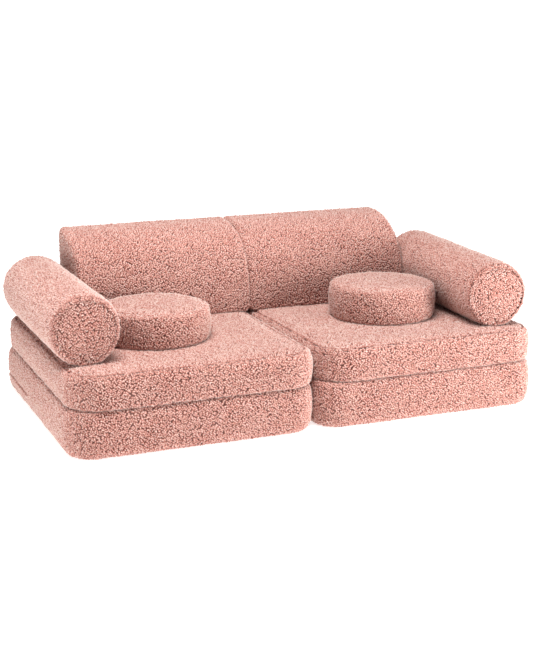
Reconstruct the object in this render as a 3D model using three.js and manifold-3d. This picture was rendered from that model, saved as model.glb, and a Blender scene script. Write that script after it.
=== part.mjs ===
// Modular foam play sofa for children, in millimetres: +X to the right, +Y to the back, +Z up.
// Two modules stand side by side. Each one stacks a base slab, a seat slab, a backrest, a bolster
// and a round cushion, all loose. Every cushion is a zipped fabric cover over one foam core.

import * as THREE from 'three';
import { mergeVertices } from 'three/addons/utils/BufferGeometryUtils.js';
import Module from 'manifold-3d';

const wasm = await Module();
wasm.setup();

// What all ten cushions share
const COVER_THICKNESS = 5; // curly pile fabric, backing and seam allowance together
const SIDE_DRAW = 3; // how far the seams draw a side wall in from its fullest line
const FOAM_GAP = 0.3; // foam core to cover
const REST_GAP = 0.3; // one cushion resting on another
const TOUCH_GAP = 0.3; // one cushion beside another

// Base slabs, and the plan that the seat slabs share with them
const MODULE_WIDTH = 762;
const MODULE_DEPTH = 892;
const BASE_HEIGHT = 142;
const BASE_CORNER = 87; // radius in plan
const BASE_EDGE = 33; // radius of the rolled edges
const RIGHT_BASE_FORWARD = 6; // the right base stands a little nearer the front

// Seat slabs
const SEAT_HEIGHT = 102;
const SEAT_CORNER = 107;
const SEAT_EDGE = 24;
const SEAT_CROWN = 3; // rise of the flat middle over the rolled edge
const SEAT_CROWN_REACH = 40; // width of the slope up to that middle
const SEAT_SHIFT = 8; // both seats lie a little to the right of their bases

// Backrests
const BACKREST_DEPTH = 281;
const BACKREST_HEIGHT = 281;
const BACKREST_ROUND = 2.6; // power of the curve from the top edge down to the foot
const BACKREST_BACK_EDGE = 22; // radius of the two edges of the flat back
const BACKREST_FOOT_EDGE = 16; // radius of the front edge that rests on the seat
const BACKREST_END_ROLL = 28; // radius of the roll onto each end
const BACKREST_SETBACK = 34; // from the back of the seat to the back of the backrest

// Bolsters
const BOLSTER_DIAMETER = 206;
const BOLSTER_LENGTH = 666; // over the crowned end panels
const BOLSTER_RIM = 14; // radius of the roll round each end
const BOLSTER_RIM_FALL = 3; // from the crown of the end panel back to the roll
const BOLSTER_SEAM_WIDTH = 4; // ring seam between the roll and the end panel
const BOLSTER_SEAM_DEPTH = 8; // from the crown of the end panel
const BOLSTER_PANEL_FALL = 1.5; // how far the end panel has fallen where it starts to dip to the seam
const BOLSTER_DRAW_REACH = 70; // length over which each end narrows
const BOLSTER_OVERHANG = 21; // past the outer side of the seat
const LEFT_BOLSTER_SETBACK = 124; // from the front of the seat
const RIGHT_BOLSTER_SETBACK = 76;
const RIGHT_BOLSTER_TURN = 4.5; // degrees that its back end points outwards

// Round cushions
const ROUND_DIAMETER = 346;
const ROUND_HEIGHT = 112;
const ROUND_EDGE = 22;
const ROUND_CROWN = 3;
const ROUND_CROWN_REACH = 50;
const ROUND_SETBACK = 35; // from the foot of the backrest
const RIGHT_ROUND_GAP = 9; // beside its bolster; the left one touches

// Zips
const ZIP_SLOT = 12; // width of the slit in the cover
const ZIP_GAP = 0.3;
const ZIP_TAPE = 1.2; // thickness of the tape
const ZIP_COIL_WIDTH = 5;
const ZIP_COIL_HEIGHT = 1.3;
const ZIP_STOP = 6; // of the tape's length past the slider at its closed end
const BASE_ZIP_HEIGHT = 57;
const BASE_ZIP_WRAP = 364; // how far it runs forwards on each side, measured from the back
const SEAT_ZIP_HEIGHT = 48;
const SEAT_ZIP_MARGIN = 18; // from the start of the rounded corner
const BACKREST_ZIP_HEIGHT = 52;
const BACKREST_ZIP_MARGIN = 56; // from each end
const BOLSTER_ZIP_MARGIN = 58;
const BOLSTER_ZIP_SIDES = 4; // flat sides of the roll up from the one that it lies on

// Zip sliders
const SLIDER_LENGTH = 11;
const SLIDER_WIDTH = 8;
const SLIDER_TAIL_WIDTH = 5.6;
const SLIDER_PLATE = 1.1;
const SLIDER_BRIDGE_LENGTH = 6;
const SLIDER_BRIDGE_WIDTH = 1.6;
const SLIDER_BRIDGE_HEIGHT = 2.2;
const SLIDER_BRIDGE_WIRE = 0.9;

// How finely the curves are divided
const CORNER_STEPS = 5;
const OUTER_ROLL_STEPS = 3;
const INNER_ROLL_STEPS = 2;
const FRONT_STEPS = 9;
const BOLSTER_SIDES = 28;
const ROUND_SIDES = 32;
const BOLSTER_CORE_SIDES = 24;
const ROUND_ZIP_SIDES = 10; // flat sides that the zip crosses, centred on the back

const LEAST_CORNER_SHARE = 0.2; // of a corner radius, kept where a ring is set in past it
const CROWN_STEP_SHARE = 0.5; // where the slope of a crown bends
const PANEL_STEP_SHARE = 0.62; // where a bolster's end panel starts to dip to its seam

const COLOURS = {
  cover: { color: 0xd6a69c, roughness: 0.95, metalness: 0 },
  foam: { color: 0xf2ecd9, roughness: 0.9, metalness: 0 },
  zip: { color: 0xcf9a90, roughness: 0.7, metalness: 0 },
  slider: { color: 0xc98f86, roughness: 0.35, metalness: 0.6 },
};

const QUARTER = Math.PI / 2;

// A three.js geometry as a solid, with its shared corners welded and its flat triangles left out
function toSolid(geometry) {
  const bare = geometry.clone();
  bare.deleteAttribute('normal');
  bare.deleteAttribute('uv');
  const welded = mergeVertices(bare);
  const triangles = [];
  for (let at = 0; at < welded.index.count; at += 3) {
    const corners = [0, 1, 2].map((corner) => welded.index.getX(at + corner));
    if (new Set(corners).size === 3) triangles.push(...corners);
  }
  return new wasm.Manifold(new wasm.Mesh({
    numProp: 3,
    vertProperties: Float32Array.from(welded.attributes.position.array),
    triVerts: Uint32Array.from(triangles),
  }));
}

function toGeometry(solid) {
  const mesh = solid.getMesh();
  const geometry = new THREE.BufferGeometry();
  geometry.setAttribute('position', new THREE.BufferAttribute(mesh.vertProperties, 3));
  geometry.setIndex(new THREE.BufferAttribute(mesh.triVerts, 1));
  geometry.computeVertexNormals();
  return geometry;
}

// A closed skin over a row of rings with the same number of points; outline is one ring drawn flat
function loft(rings, outline) {
  const count = outline.length;
  const index = [];
  for (let level = 0; level < rings.length - 1; level += 1) {
    for (let side = 0; side < count; side += 1) {
      const a = level * count + side;
      const b = level * count + (side + 1) % count;
      index.push(a, b, b + count, a, b + count, a + count);
    }
  }
  const last = (rings.length - 1) * count;
  for (const [a, b, c] of THREE.ShapeUtils.triangulateShape(outline, [])) {
    index.push(c, b, a, last + a, last + b, last + c);
  }
  const geometry = new THREE.BufferGeometry();
  const positions = rings.flat().flatMap((point) => point.toArray());
  geometry.setAttribute('position', new THREE.Float32BufferAttribute(positions, 3));
  geometry.setIndex(index);
  return geometry;
}

// The points of a rolled edge, as how far each lies in from the wall and above the roll's start
function roll(radius, steps) {
  return Array.from({ length: steps + 1 }, (_, step) => {
    const turn = QUARTER * step / steps;
    return { inset: radius * (1 - Math.sin(turn)), rise: radius * (1 - Math.cos(turn)) };
  });
}

// Levels of a flat cushion from its bottom to its top: how far each is set in, and its height
function levels({ height, edge, draw, crown, reach }, steps) {
  const rolled = roll(edge, steps);
  const shoulder = height - crown;
  const rows = rolled.map(({ inset, rise }) => ({ inset: draw + inset, z: rise }));
  if (draw > 0) rows.push({ inset: 0, z: height / 2 });
  for (const { inset, rise } of rolled.toReversed()) {
    rows.push({ inset: draw + inset, z: shoulder - rise });
  }
  if (crown > 0) {
    const left = 1 - CROWN_STEP_SHARE;
    rows.push({ inset: draw + edge + reach * CROWN_STEP_SHARE, z: height - crown * left * left });
    rows.push({ inset: draw + edge + reach, z: height });
  }
  return rows;
}

// The same cushion with every face moved in by a wall, for the space inside a cover or its foam
function shrunk(form, wall) {
  const side = form.draw + wall;
  return {
    ...form,
    width: form.width - 2 * side,
    depth: form.depth - 2 * side,
    height: form.height - 2 * wall,
    corner: form.corner - side,
    edge: form.edge - wall,
    draw: 0,
  };
}

// Slabs

function slabRing(slab, inset, z) {
  const radius = Math.max(slab.corner - inset, slab.corner * LEAST_CORNER_SHARE);
  const x = slab.width / 2 - inset - radius;
  const y = slab.depth / 2 - inset - radius;
  const centres = [[x, y], [-x, y], [-x, -y], [x, -y]];
  return centres.flatMap(([centreX, centreY], corner) => (
    Array.from({ length: CORNER_STEPS + 1 }, (_, step) => {
      const angle = QUARTER * (corner + step / CORNER_STEPS);
      const out = new THREE.Vector3(Math.cos(angle), Math.sin(angle), 0);
      return out.multiplyScalar(radius).add(new THREE.Vector3(centreX, centreY, z));
    })
  ));
}

function slabForm(slab, steps) {
  const rings = levels(slab, steps).map(({ inset, z }) => slabRing(slab, inset, z));
  return loft(rings, rings[0].map((point) => new THREE.Vector2(point.x, point.y)));
}

// Round cushions

function roundForm(cushion, steps) {
  const radius = cushion.width / 2;
  const profile = levels(cushion, steps).map(({ inset, z }) => new THREE.Vector2(radius - inset, z));
  profile.unshift(new THREE.Vector2(0, 0));
  profile.push(new THREE.Vector2(0, cushion.height));
  return new THREE.LatheGeometry(profile, ROUND_SIDES).rotateX(QUARTER);
}

// Bolsters, with their axis along Y

function bolsterForm(bolster, steps, sides) {
  const { radius, length, rim, rimFall, draw, reach, seamWidth, seamDepth, panelFall } = bolster;
  const half = [];
  if (seamDepth > 0) {
    const seam = radius - draw - rim - seamWidth;
    half.push(new THREE.Vector2(seam * PANEL_STEP_SHARE, panelFall));
    half.push(new THREE.Vector2(seam, seamDepth));
  }
  for (const { inset, rise } of roll(rim, steps)) {
    half.push(new THREE.Vector2(radius - draw - inset, rimFall + rise));
  }
  if (draw > 0) half.push(new THREE.Vector2(radius, reach));
  const front = half.map(({ x, y }) => new THREE.Vector2(x, y - length / 2));
  const back = half.map(({ x, y }) => new THREE.Vector2(x, length / 2 - y)).reverse();
  const profile = [new THREE.Vector2(0, -length / 2), ...front, ...back, new THREE.Vector2(0, length / 2)];
  return new THREE.LatheGeometry(profile, sides, Math.PI / sides);
}

// Backrests: a profile with a flat back and a flat foot, along X

function backrestProfile({ depth, height, backEdge, footEdge }) {
  const points = [];
  const arc = (y, z, radius, start) => {
    for (let step = 0; step <= INNER_ROLL_STEPS; step += 1) {
      const angle = start + QUARTER * step / INNER_ROLL_STEPS;
      points.push(new THREE.Vector2(y + radius * Math.cos(angle), z + radius * Math.sin(angle)));
    }
  };
  arc(depth / 2 - backEdge, backEdge, backEdge, -QUARTER);
  arc(depth / 2 - backEdge, height - backEdge, backEdge, 0);
  const power = 2 / BACKREST_ROUND;
  const first = Math.asin((backEdge / depth) ** (1 / power));
  const last = Math.acos((footEdge / height) ** (1 / power));
  for (let step = 1; step <= FRONT_STEPS; step += 1) {
    const turn = first + (last - first) * step / FRONT_STEPS;
    const forward = depth * Math.sin(turn) ** power;
    points.push(new THREE.Vector2(depth / 2 - forward, height * Math.cos(turn) ** power));
  }
  arc(footEdge - depth / 2, footEdge, footEdge, 2 * QUARTER);
  return points;
}

// The ends shrink towards the middle of the profile as they roll over
function backrestForm(backrest, steps) {
  const { width, depth, height, endRoll } = backrest;
  const profile = backrestProfile(backrest);
  const section = (x, inset) => profile.map((point) => new THREE.Vector3(
    x,
    point.x * (1 - 2 * inset / depth),
    height / 2 + (point.y - height / 2) * (1 - 2 * inset / height),
  ));
  const left = roll(endRoll, steps).map(({ inset, rise }) => section(rise - width / 2, inset));
  const right = roll(endRoll, steps).map(({ inset, rise }) => section(width / 2 - rise, inset));
  return loft([...left, ...right.reverse()], profile);
}

// Zips

// A section of points, each measured across the zip and out of the fabric, swept over stations
function sweep(section, stations) {
  const rings = stations.map(({ at, out, across }) => section.map((point) => (
    at.clone().addScaledVector(across, point.x).addScaledVector(out, point.y)
  )));
  return loft(rings, section);
}

function box(halfWidth, low, high) {
  return [
    new THREE.Vector2(-halfWidth, low),
    new THREE.Vector2(halfWidth, low),
    new THREE.Vector2(halfWidth, high),
    new THREE.Vector2(-halfWidth, high),
  ];
}

// The slit reaches from inside the cover to past its fullest line
const slitSection = box(ZIP_SLOT / 2, -2 * COVER_THICKNESS, 2 * COVER_THICKNESS);

const tapeTop = ZIP_TAPE - COVER_THICKNESS;
const coilTop = tapeTop + ZIP_COIL_HEIGHT;
const zipSection = [
  ...box(ZIP_SLOT / 2 - ZIP_GAP, -COVER_THICKNESS, tapeTop).slice(0, 3),
  new THREE.Vector2(ZIP_COIL_WIDTH / 2, tapeTop),
  new THREE.Vector2(ZIP_COIL_WIDTH / 2, coilTop),
  new THREE.Vector2(-ZIP_COIL_WIDTH / 2, coilTop),
  new THREE.Vector2(-ZIP_COIL_WIDTH / 2, tapeTop),
  new THREE.Vector2(ZIP_GAP - ZIP_SLOT / 2, tapeTop),
];

// The same path with both of its ends drawn back, so that the tape stays clear of the slit's ends
function shortened(stations, margin) {
  const ends = stations.map((station) => ({ ...station, at: station.at.clone() }));
  const pull = (end, next) => {
    end.at.addScaledVector(next.at.clone().sub(end.at).normalize(), margin);
  };
  pull(ends[0], stations[1]);
  pull(ends.at(-1), stations.at(-2));
  return ends;
}

function station(at, out, across) {
  return { at, out, across };
}

const UP = new THREE.Vector3(0, 0, 1);

function flatStation(x, y, z, angle) {
  return station(new THREE.Vector3(x, y, z), new THREE.Vector3(Math.cos(angle), Math.sin(angle), 0), UP);
}

// Straight across the back of a slab or a backrest, from right to left
function backZip(halfLength, y, z) {
  return [flatStation(halfLength, y, z, QUARTER), flatStation(-halfLength, y, z, QUARTER)];
}

// Across the back of a base and round both of its rear corners
function wrappedZip({ width, depth, corner, draw }, wrap, z) {
  const radius = corner - draw;
  const x = width / 2 - draw - radius;
  const y = depth / 2 - draw - radius;
  const end = depth / 2 - wrap;
  const path = [flatStation(x + radius, end, z, 0)];
  for (const [side, start] of [[1, 0], [-1, 1]]) {
    for (let step = 0; step <= CORNER_STEPS; step += 1) {
      const angle = QUARTER * (start + step / CORNER_STEPS);
      const reach = [side * x + radius * Math.cos(angle), y + radius * Math.sin(angle)];
      path.push(flatStation(...reach, z, angle));
    }
  }
  path.push(flatStation(-x - radius, end, z, 2 * QUARTER));
  return path;
}

// Round the back of a round cushion
function roundZip({ width, height, draw }) {
  const radius = width / 2 - draw;
  return Array.from({ length: ROUND_ZIP_SIDES + 1 }, (_, step) => {
    const angle = QUARTER + 2 * Math.PI * (step - ROUND_ZIP_SIDES / 2) / ROUND_SIDES;
    return flatStation(radius * Math.cos(angle), radius * Math.sin(angle), height / 2, angle);
  });
}

// Along the right side of a bolster, low down
function bolsterZip({ radius, length, draw }) {
  const angle = BOLSTER_ZIP_SIDES * 2 * Math.PI / BOLSTER_SIDES - QUARTER;
  const out = new THREE.Vector3(Math.cos(angle), 0, Math.sin(angle));
  const across = new THREE.Vector3(-Math.sin(angle), 0, Math.cos(angle));
  const half = length / 2 - BOLSTER_ZIP_MARGIN;
  return [-half, half].map((y) => {
    const at = out.clone().multiplyScalar(radius - draw).setY(y);
    return station(at, out, across);
  });
}

// A slider with a bridge and no pull, as on children's covers; it is drawn flat, then stood on the zip
function sliderForm() {
  const plate = new THREE.Shape([
    new THREE.Vector2(-SLIDER_LENGTH / 2, -SLIDER_TAIL_WIDTH / 2),
    new THREE.Vector2(0, -SLIDER_TAIL_WIDTH / 2),
    new THREE.Vector2(SLIDER_LENGTH / 2, -SLIDER_WIDTH / 2),
    new THREE.Vector2(SLIDER_LENGTH / 2, SLIDER_WIDTH / 2),
    new THREE.Vector2(0, SLIDER_TAIL_WIDTH / 2),
    new THREE.Vector2(-SLIDER_LENGTH / 2, SLIDER_TAIL_WIDTH / 2),
  ]);
  const plateSolid = toSolid(new THREE.ExtrudeGeometry(plate, { depth: SLIDER_PLATE, bevelEnabled: false }));
  const foot = SLIDER_BRIDGE_LENGTH / 2;
  const inner = foot - SLIDER_BRIDGE_WIRE;
  const under = SLIDER_BRIDGE_HEIGHT - SLIDER_BRIDGE_WIRE;
  const sunk = -SLIDER_PLATE / 2;
  const bridge = new THREE.Shape([
    new THREE.Vector2(-foot, sunk),
    new THREE.Vector2(-inner, sunk),
    new THREE.Vector2(-inner, under),
    new THREE.Vector2(inner, under),
    new THREE.Vector2(inner, sunk),
    new THREE.Vector2(foot, sunk),
    new THREE.Vector2(foot, SLIDER_BRIDGE_HEIGHT),
    new THREE.Vector2(-foot, SLIDER_BRIDGE_HEIGHT),
  ]);
  const standing = new THREE.ExtrudeGeometry(bridge, { depth: SLIDER_BRIDGE_WIDTH, bevelEnabled: false });
  standing.translate(0, 0, -SLIDER_BRIDGE_WIDTH / 2).rotateX(QUARTER).translate(0, 0, SLIDER_PLATE);
  return toGeometry(plateSolid.add(toSolid(standing)));
}

// Where a slider stands at the closed end of a zip: past the stop on a straight run
const closedAt = ZIP_STOP + SLIDER_LENGTH / 2;

function straightSeat([from, to]) {
  const along = to.at.clone().sub(from.at).normalize();
  return { at: from.at.clone().addScaledVector(along, closedAt), out: from.out, along };
}

// The same on a round cushion, where the slider travels about the cushion's own axis
function roundSeat({ width, height, draw }) {
  const radius = width / 2 - draw;
  const angle = QUARTER - ROUND_ZIP_SIDES * Math.PI / ROUND_SIDES + closedAt / radius;
  const { at, out } = flatStation(radius * Math.cos(angle), radius * Math.sin(angle), height / 2, angle);
  return { at, out, along: UP.clone().cross(out) };
}

function placeSlider(slider, { at, out, along }) {
  const across = out.clone().cross(along);
  slider.position.copy(at.clone().addScaledVector(out, coilTop + ZIP_GAP));
  slider.setRotationFromMatrix(new THREE.Matrix4().makeBasis(along, across, out));
}

// Cushions

function mesh(name, geometry, look) {
  const made = new THREE.Mesh(geometry, new THREE.MeshStandardMaterial(COLOURS[look]));
  made.name = name;
  return made;
}

// One cushion: the outer and inner forms of its cover, its core, the path of its zip and its slider's seat
function cushion(name, { outer, inner, core, path, closed }) {
  const slit = toSolid(sweep(slitSection, path));
  const cover = toSolid(outer).subtract(toSolid(inner)).subtract(slit);
  const tape = sweep(zipSection, shortened(path, ZIP_GAP));
  const slider = mesh(`${name}_zip_slider`, sliderForm(), 'slider');
  placeSlider(slider, closed);
  const group = new THREE.Group();
  group.add(
    mesh(`${name}_cover`, toGeometry(cover), 'cover'),
    mesh(`${name}_foam`, toGeometry(toSolid(core)), 'foam'),
    mesh(`${name}_zip`, toGeometry(toSolid(tape)), 'zip'),
    slider,
  );
  return group;
}

// The space inside a cover, or the foam in it, made like the cushion and lifted off its bottom
function inside(form, build, wall) {
  return build(shrunk(form, wall), INNER_ROLL_STEPS).translate(0, 0, wall);
}

function flatCushion(name, form, build, path, closed) {
  return cushion(name, {
    outer: build(form, OUTER_ROLL_STEPS),
    inner: inside(form, build, COVER_THICKNESS),
    core: inside(form, build, COVER_THICKNESS + FOAM_GAP),
    path,
    closed,
  });
}

const baseShape = {
  width: MODULE_WIDTH,
  depth: MODULE_DEPTH,
  height: BASE_HEIGHT,
  corner: BASE_CORNER,
  edge: BASE_EDGE,
  draw: SIDE_DRAW,
  crown: 0,
  reach: 0,
};

const seatShape = {
  width: MODULE_WIDTH,
  depth: MODULE_DEPTH,
  height: SEAT_HEIGHT,
  corner: SEAT_CORNER,
  edge: SEAT_EDGE,
  draw: SIDE_DRAW,
  crown: SEAT_CROWN,
  reach: SEAT_CROWN_REACH,
};

const roundShape = {
  width: ROUND_DIAMETER,
  depth: ROUND_DIAMETER,
  height: ROUND_HEIGHT,
  corner: ROUND_DIAMETER / 2,
  edge: ROUND_EDGE,
  draw: SIDE_DRAW,
  crown: ROUND_CROWN,
  reach: ROUND_CROWN_REACH,
};

const bolsterShape = {
  radius: BOLSTER_DIAMETER / 2,
  length: BOLSTER_LENGTH,
  rim: BOLSTER_RIM,
  rimFall: BOLSTER_RIM_FALL,
  draw: SIDE_DRAW,
  reach: BOLSTER_DRAW_REACH,
  seamWidth: BOLSTER_SEAM_WIDTH,
  seamDepth: BOLSTER_SEAM_DEPTH,
  panelFall: BOLSTER_PANEL_FALL,
};

// Where the cushions lie. The seats' and backrests' middle line, then each bolster from the outer side
const middle = SEAT_SHIFT;
const seatTop = BASE_HEIGHT + REST_GAP + SEAT_HEIGHT;
const resting = seatTop + REST_GAP;
const bolsterReach = BOLSTER_DIAMETER / 2 * Math.cos(Math.PI / BOLSTER_SIDES); // to a flat side of it
const leftBolsterX = middle - TOUCH_GAP / 2 - MODULE_WIDTH - BOLSTER_OVERHANG + bolsterReach;
const bolsterZ = resting + bolsterReach;
const backrestLength = middle - TOUCH_GAP / 2 - (leftBolsterX + bolsterReach + TOUCH_GAP);
const backrestX = (backrestLength + TOUCH_GAP) / 2;
const backrestY = MODULE_DEPTH / 2 - BACKREST_SETBACK - BACKREST_DEPTH / 2;
const backrestFront = backrestY - BACKREST_DEPTH / 2;
const leftBolsterY = (BOLSTER_LENGTH - MODULE_DEPTH) / 2 + LEFT_BOLSTER_SETBACK;
const rightBolsterY = (BOLSTER_LENGTH - MODULE_DEPTH) / 2 + RIGHT_BOLSTER_SETBACK;
const turn = THREE.MathUtils.degToRad(RIGHT_BOLSTER_TURN);
const bolsterHalfWidth = bolsterReach / Math.cos(turn);
const rightBackrestEnd = middle + TOUCH_GAP / 2 + backrestLength;
const rightBolsterAtBackrest = rightBackrestEnd + TOUCH_GAP + bolsterHalfWidth;
const rightBolsterX = rightBolsterAtBackrest - Math.tan(turn) * (backrestFront - rightBolsterY);
const roundY = backrestFront - ROUND_SETBACK - ROUND_DIAMETER / 2;
const leftRoundX = leftBolsterX + bolsterReach + TOUCH_GAP + ROUND_DIAMETER / 2;
const rightBolsterAtRound = rightBolsterX + Math.tan(turn) * (roundY - rightBolsterY);
const rightRoundX = rightBolsterAtRound - bolsterHalfWidth - RIGHT_ROUND_GAP - ROUND_DIAMETER / 2;

const backrestShape = {
  width: backrestLength,
  depth: BACKREST_DEPTH,
  height: BACKREST_HEIGHT,
  backEdge: BACKREST_BACK_EDGE,
  footEdge: BACKREST_FOOT_EDGE,
  endRoll: BACKREST_END_ROLL,
};

function base(name) {
  const path = wrappedZip(baseShape, BASE_ZIP_WRAP, BASE_ZIP_HEIGHT);
  const acrossBack = path.slice(CORNER_STEPS + 1, CORNER_STEPS + 3);
  return flatCushion(name, baseShape, slabForm, path, straightSeat(acrossBack));
}

function seat(name) {
  const half = MODULE_WIDTH / 2 - SEAT_CORNER - SEAT_ZIP_MARGIN;
  const path = backZip(half, MODULE_DEPTH / 2 - SIDE_DRAW, SEAT_ZIP_HEIGHT);
  return flatCushion(name, seatShape, slabForm, path, straightSeat(path));
}

function roundCushion(name) {
  return flatCushion(name, roundShape, roundForm, roundZip(roundShape), roundSeat(roundShape));
}

function bolster(name) {
  const path = bolsterZip(bolsterShape);
  const core = (wall) => bolsterForm({
    radius: bolsterShape.radius - SIDE_DRAW - wall,
    length: BOLSTER_LENGTH - 2 * (BOLSTER_SEAM_DEPTH + wall),
    rim: BOLSTER_RIM - wall,
    rimFall: 0,
    draw: 0,
    seamDepth: 0,
  }, INNER_ROLL_STEPS, BOLSTER_CORE_SIDES);
  return cushion(name, {
    outer: bolsterForm(bolsterShape, OUTER_ROLL_STEPS, BOLSTER_SIDES),
    inner: core(COVER_THICKNESS),
    core: core(COVER_THICKNESS + FOAM_GAP),
    path,
    closed: straightSeat(path),
  });
}

function backrest(name) {
  const path = backZip(
    backrestLength / 2 - BACKREST_ZIP_MARGIN,
    BACKREST_DEPTH / 2 - SIDE_DRAW,
    BACKREST_ZIP_HEIGHT,
  );
  const core = (wall) => {
    const side = SIDE_DRAW + wall;
    return backrestForm({
      width: backrestLength - 2 * side,
      depth: BACKREST_DEPTH - 2 * side,
      height: BACKREST_HEIGHT - 2 * side,
      backEdge: BACKREST_BACK_EDGE - side,
      footEdge: BACKREST_FOOT_EDGE - side,
      endRoll: BACKREST_END_ROLL - side,
    }, INNER_ROLL_STEPS).translate(0, 0, side);
  };
  return cushion(name, {
    outer: backrestForm(backrestShape, OUTER_ROLL_STEPS),
    inner: core(COVER_THICKNESS),
    core: core(COVER_THICKNESS + FOAM_GAP),
    path,
    closed: straightSeat(path),
  });
}

const sofa = new THREE.Group();

function place(piece, x, y, z, turned = 0) {
  piece.position.set(x, y, z);
  piece.rotation.z = turned;
  sofa.add(piece);
}

const moduleX = (MODULE_WIDTH + TOUCH_GAP) / 2;
place(base('left_base'), -moduleX, 0, 0);
place(base('right_base'), moduleX, -RIGHT_BASE_FORWARD, 0);
place(seat('left_seat'), middle - moduleX, 0, BASE_HEIGHT + REST_GAP);
place(seat('right_seat'), middle + moduleX, 0, BASE_HEIGHT + REST_GAP);
place(backrest('left_backrest'), middle - backrestX, backrestY, resting);
place(backrest('right_backrest'), middle + backrestX, backrestY, resting);
place(bolster('left_bolster'), leftBolsterX, leftBolsterY, bolsterZ);
place(bolster('right_bolster'), rightBolsterX, rightBolsterY, bolsterZ, -turn);
place(roundCushion('left_round_cushion'), leftRoundX, roundY, resting);
place(roundCushion('right_round_cushion'), rightRoundX, roundY, resting);

// The origin is on the floor, under the middle of the whole sofa
const bounds = new THREE.Box3().setFromObject(sofa, true);
const centre = bounds.getCenter(new THREE.Vector3());
sofa.position.set(-centre.x, -centre.y, -bounds.min.z);

export default sofa;
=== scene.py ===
# %% [markdown]
# # A modular foam play sofa in curly pile
# The sofa is ten loose cushions in two modules. In each module a base slab lies on the floor, a thinner
# seat slab lies on it, and a quarter-round backrest, a bolster and a round cushion lie on the seat.
# Every cushion is a zipped cover of curly pile fabric, sewn over one block of foam.
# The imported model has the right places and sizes. This script dresses it, and keeps to those sizes
# within the few millimetres that soft fabric gives.

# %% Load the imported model
import math

import bpy
import numpy as np
from mathutils import Matrix, Vector
from mathutils.bvhtree import BVHTree


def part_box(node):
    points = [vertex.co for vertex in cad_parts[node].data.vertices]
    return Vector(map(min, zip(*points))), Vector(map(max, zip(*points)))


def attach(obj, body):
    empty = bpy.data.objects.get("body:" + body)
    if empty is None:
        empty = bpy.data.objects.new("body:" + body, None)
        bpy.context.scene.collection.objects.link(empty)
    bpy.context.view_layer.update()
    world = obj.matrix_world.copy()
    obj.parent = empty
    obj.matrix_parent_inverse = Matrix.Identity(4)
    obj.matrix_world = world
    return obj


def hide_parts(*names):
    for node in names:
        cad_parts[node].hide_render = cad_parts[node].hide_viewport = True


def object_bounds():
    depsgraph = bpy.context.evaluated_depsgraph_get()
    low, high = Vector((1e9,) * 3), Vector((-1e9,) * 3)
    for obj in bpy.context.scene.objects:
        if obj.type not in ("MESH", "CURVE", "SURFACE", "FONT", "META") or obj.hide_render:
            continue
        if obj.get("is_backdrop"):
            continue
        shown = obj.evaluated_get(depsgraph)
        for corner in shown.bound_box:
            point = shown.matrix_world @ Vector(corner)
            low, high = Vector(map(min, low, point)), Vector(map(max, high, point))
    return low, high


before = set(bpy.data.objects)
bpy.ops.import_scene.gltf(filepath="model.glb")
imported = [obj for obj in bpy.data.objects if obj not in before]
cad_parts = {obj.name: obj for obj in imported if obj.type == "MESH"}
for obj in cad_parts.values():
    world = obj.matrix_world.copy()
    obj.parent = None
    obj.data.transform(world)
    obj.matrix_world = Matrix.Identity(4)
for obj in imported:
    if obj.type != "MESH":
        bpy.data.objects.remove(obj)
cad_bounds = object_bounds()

MM = 0.001

# %% [markdown]
# ## The camera
# A camera matches a photograph when it stands in the same place and has the same angle of view. Both
# were worked out from the outlines of the ten cushions, so the camera is placed by numbers and isn't
# aimed at anything. It stands at the left front, and looks down a little and to the right.

# %% The camera
CAMERA_PLACE = Vector((-1.5864, -3.7943, 1.2491))
CAMERA_TURN = math.radians(22.643)  # to the right of straight ahead
CAMERA_TILT = math.radians(14.299)  # below level
FOCAL_LENGTH = 70.466  # millimetres, for a sensor whose long side is 36
SENSOR = 36

camera_data = bpy.data.cameras.new("camera")
camera_data.lens = FOCAL_LENGTH
camera_data.sensor_width = SENSOR
camera_data.clip_start, camera_data.clip_end = 0.05, 20000
camera = bpy.data.objects.new("camera", camera_data)
camera.location = CAMERA_PLACE
camera.rotation_euler = (math.pi / 2 - CAMERA_TILT, 0, -CAMERA_TURN)
bpy.context.scene.collection.objects.link(camera)
bpy.context.scene.camera = camera
print("camera", round((CAMERA_PLACE - Vector((0, 0, 0.25))).length, 2), "m from the sofa's middle")

# %% [markdown]
# ## How a cushion is built
# Each cover could be one box with rounded edges, but a sewn cover has a direction: a wall goes round it
# in one strip, and a panel closes each end. So every cushion here is made the same way. A closed
# outline is swept through levels, which makes the band, and two caps close it. The band of a slab
# stands up, the band of a bolster and of a backrest lies along its length.
# Points are spread evenly, because the pile needs the same fineness everywhere.

# %% Even points on a line
SPACING = 2.2 * MM  # between the points of the finished covers
SIM_SPACING = 17 * MM  # between the points that the cloth simulation moves


def run_along(points):
    """The distance walked along a line of points, at each of them."""
    steps = np.linalg.norm(np.diff(points, axis=0), axis=1)
    return np.concatenate([[0], np.cumsum(steps)])


def read_at(points, run, at):
    return np.stack([np.interp(at, run, points[:, k]) for k in range(points.shape[1])], axis=1)


def places_between(stops, spacing):
    """Places that pass through every stop, no more than about a spacing apart."""
    places = []
    for low, high in zip(stops, stops[1:]):
        places.append(np.linspace(low, high, max(1, round((high - low) / spacing)) + 1)[:-1])
    return np.concatenate([*places, [stops[-1]]])


def arc(centre, radius, start, end, count=24):
    """Points on an arc, with its angles in quarter turns."""
    turn = np.linspace(start, end, count + 1) * math.pi / 2
    return np.stack([centre[0] + radius * np.cos(turn), centre[1] + radius * np.sin(turn)], axis=1)


print("points every", SPACING / MM, "mm")

# %% [markdown]
# ## Outlines
# An outline is given as four sides, and opposite sides get as many points. That way a cap can be a
# plain grid of four-sided faces, stretched inside the outline like cloth in a hoop.

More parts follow.
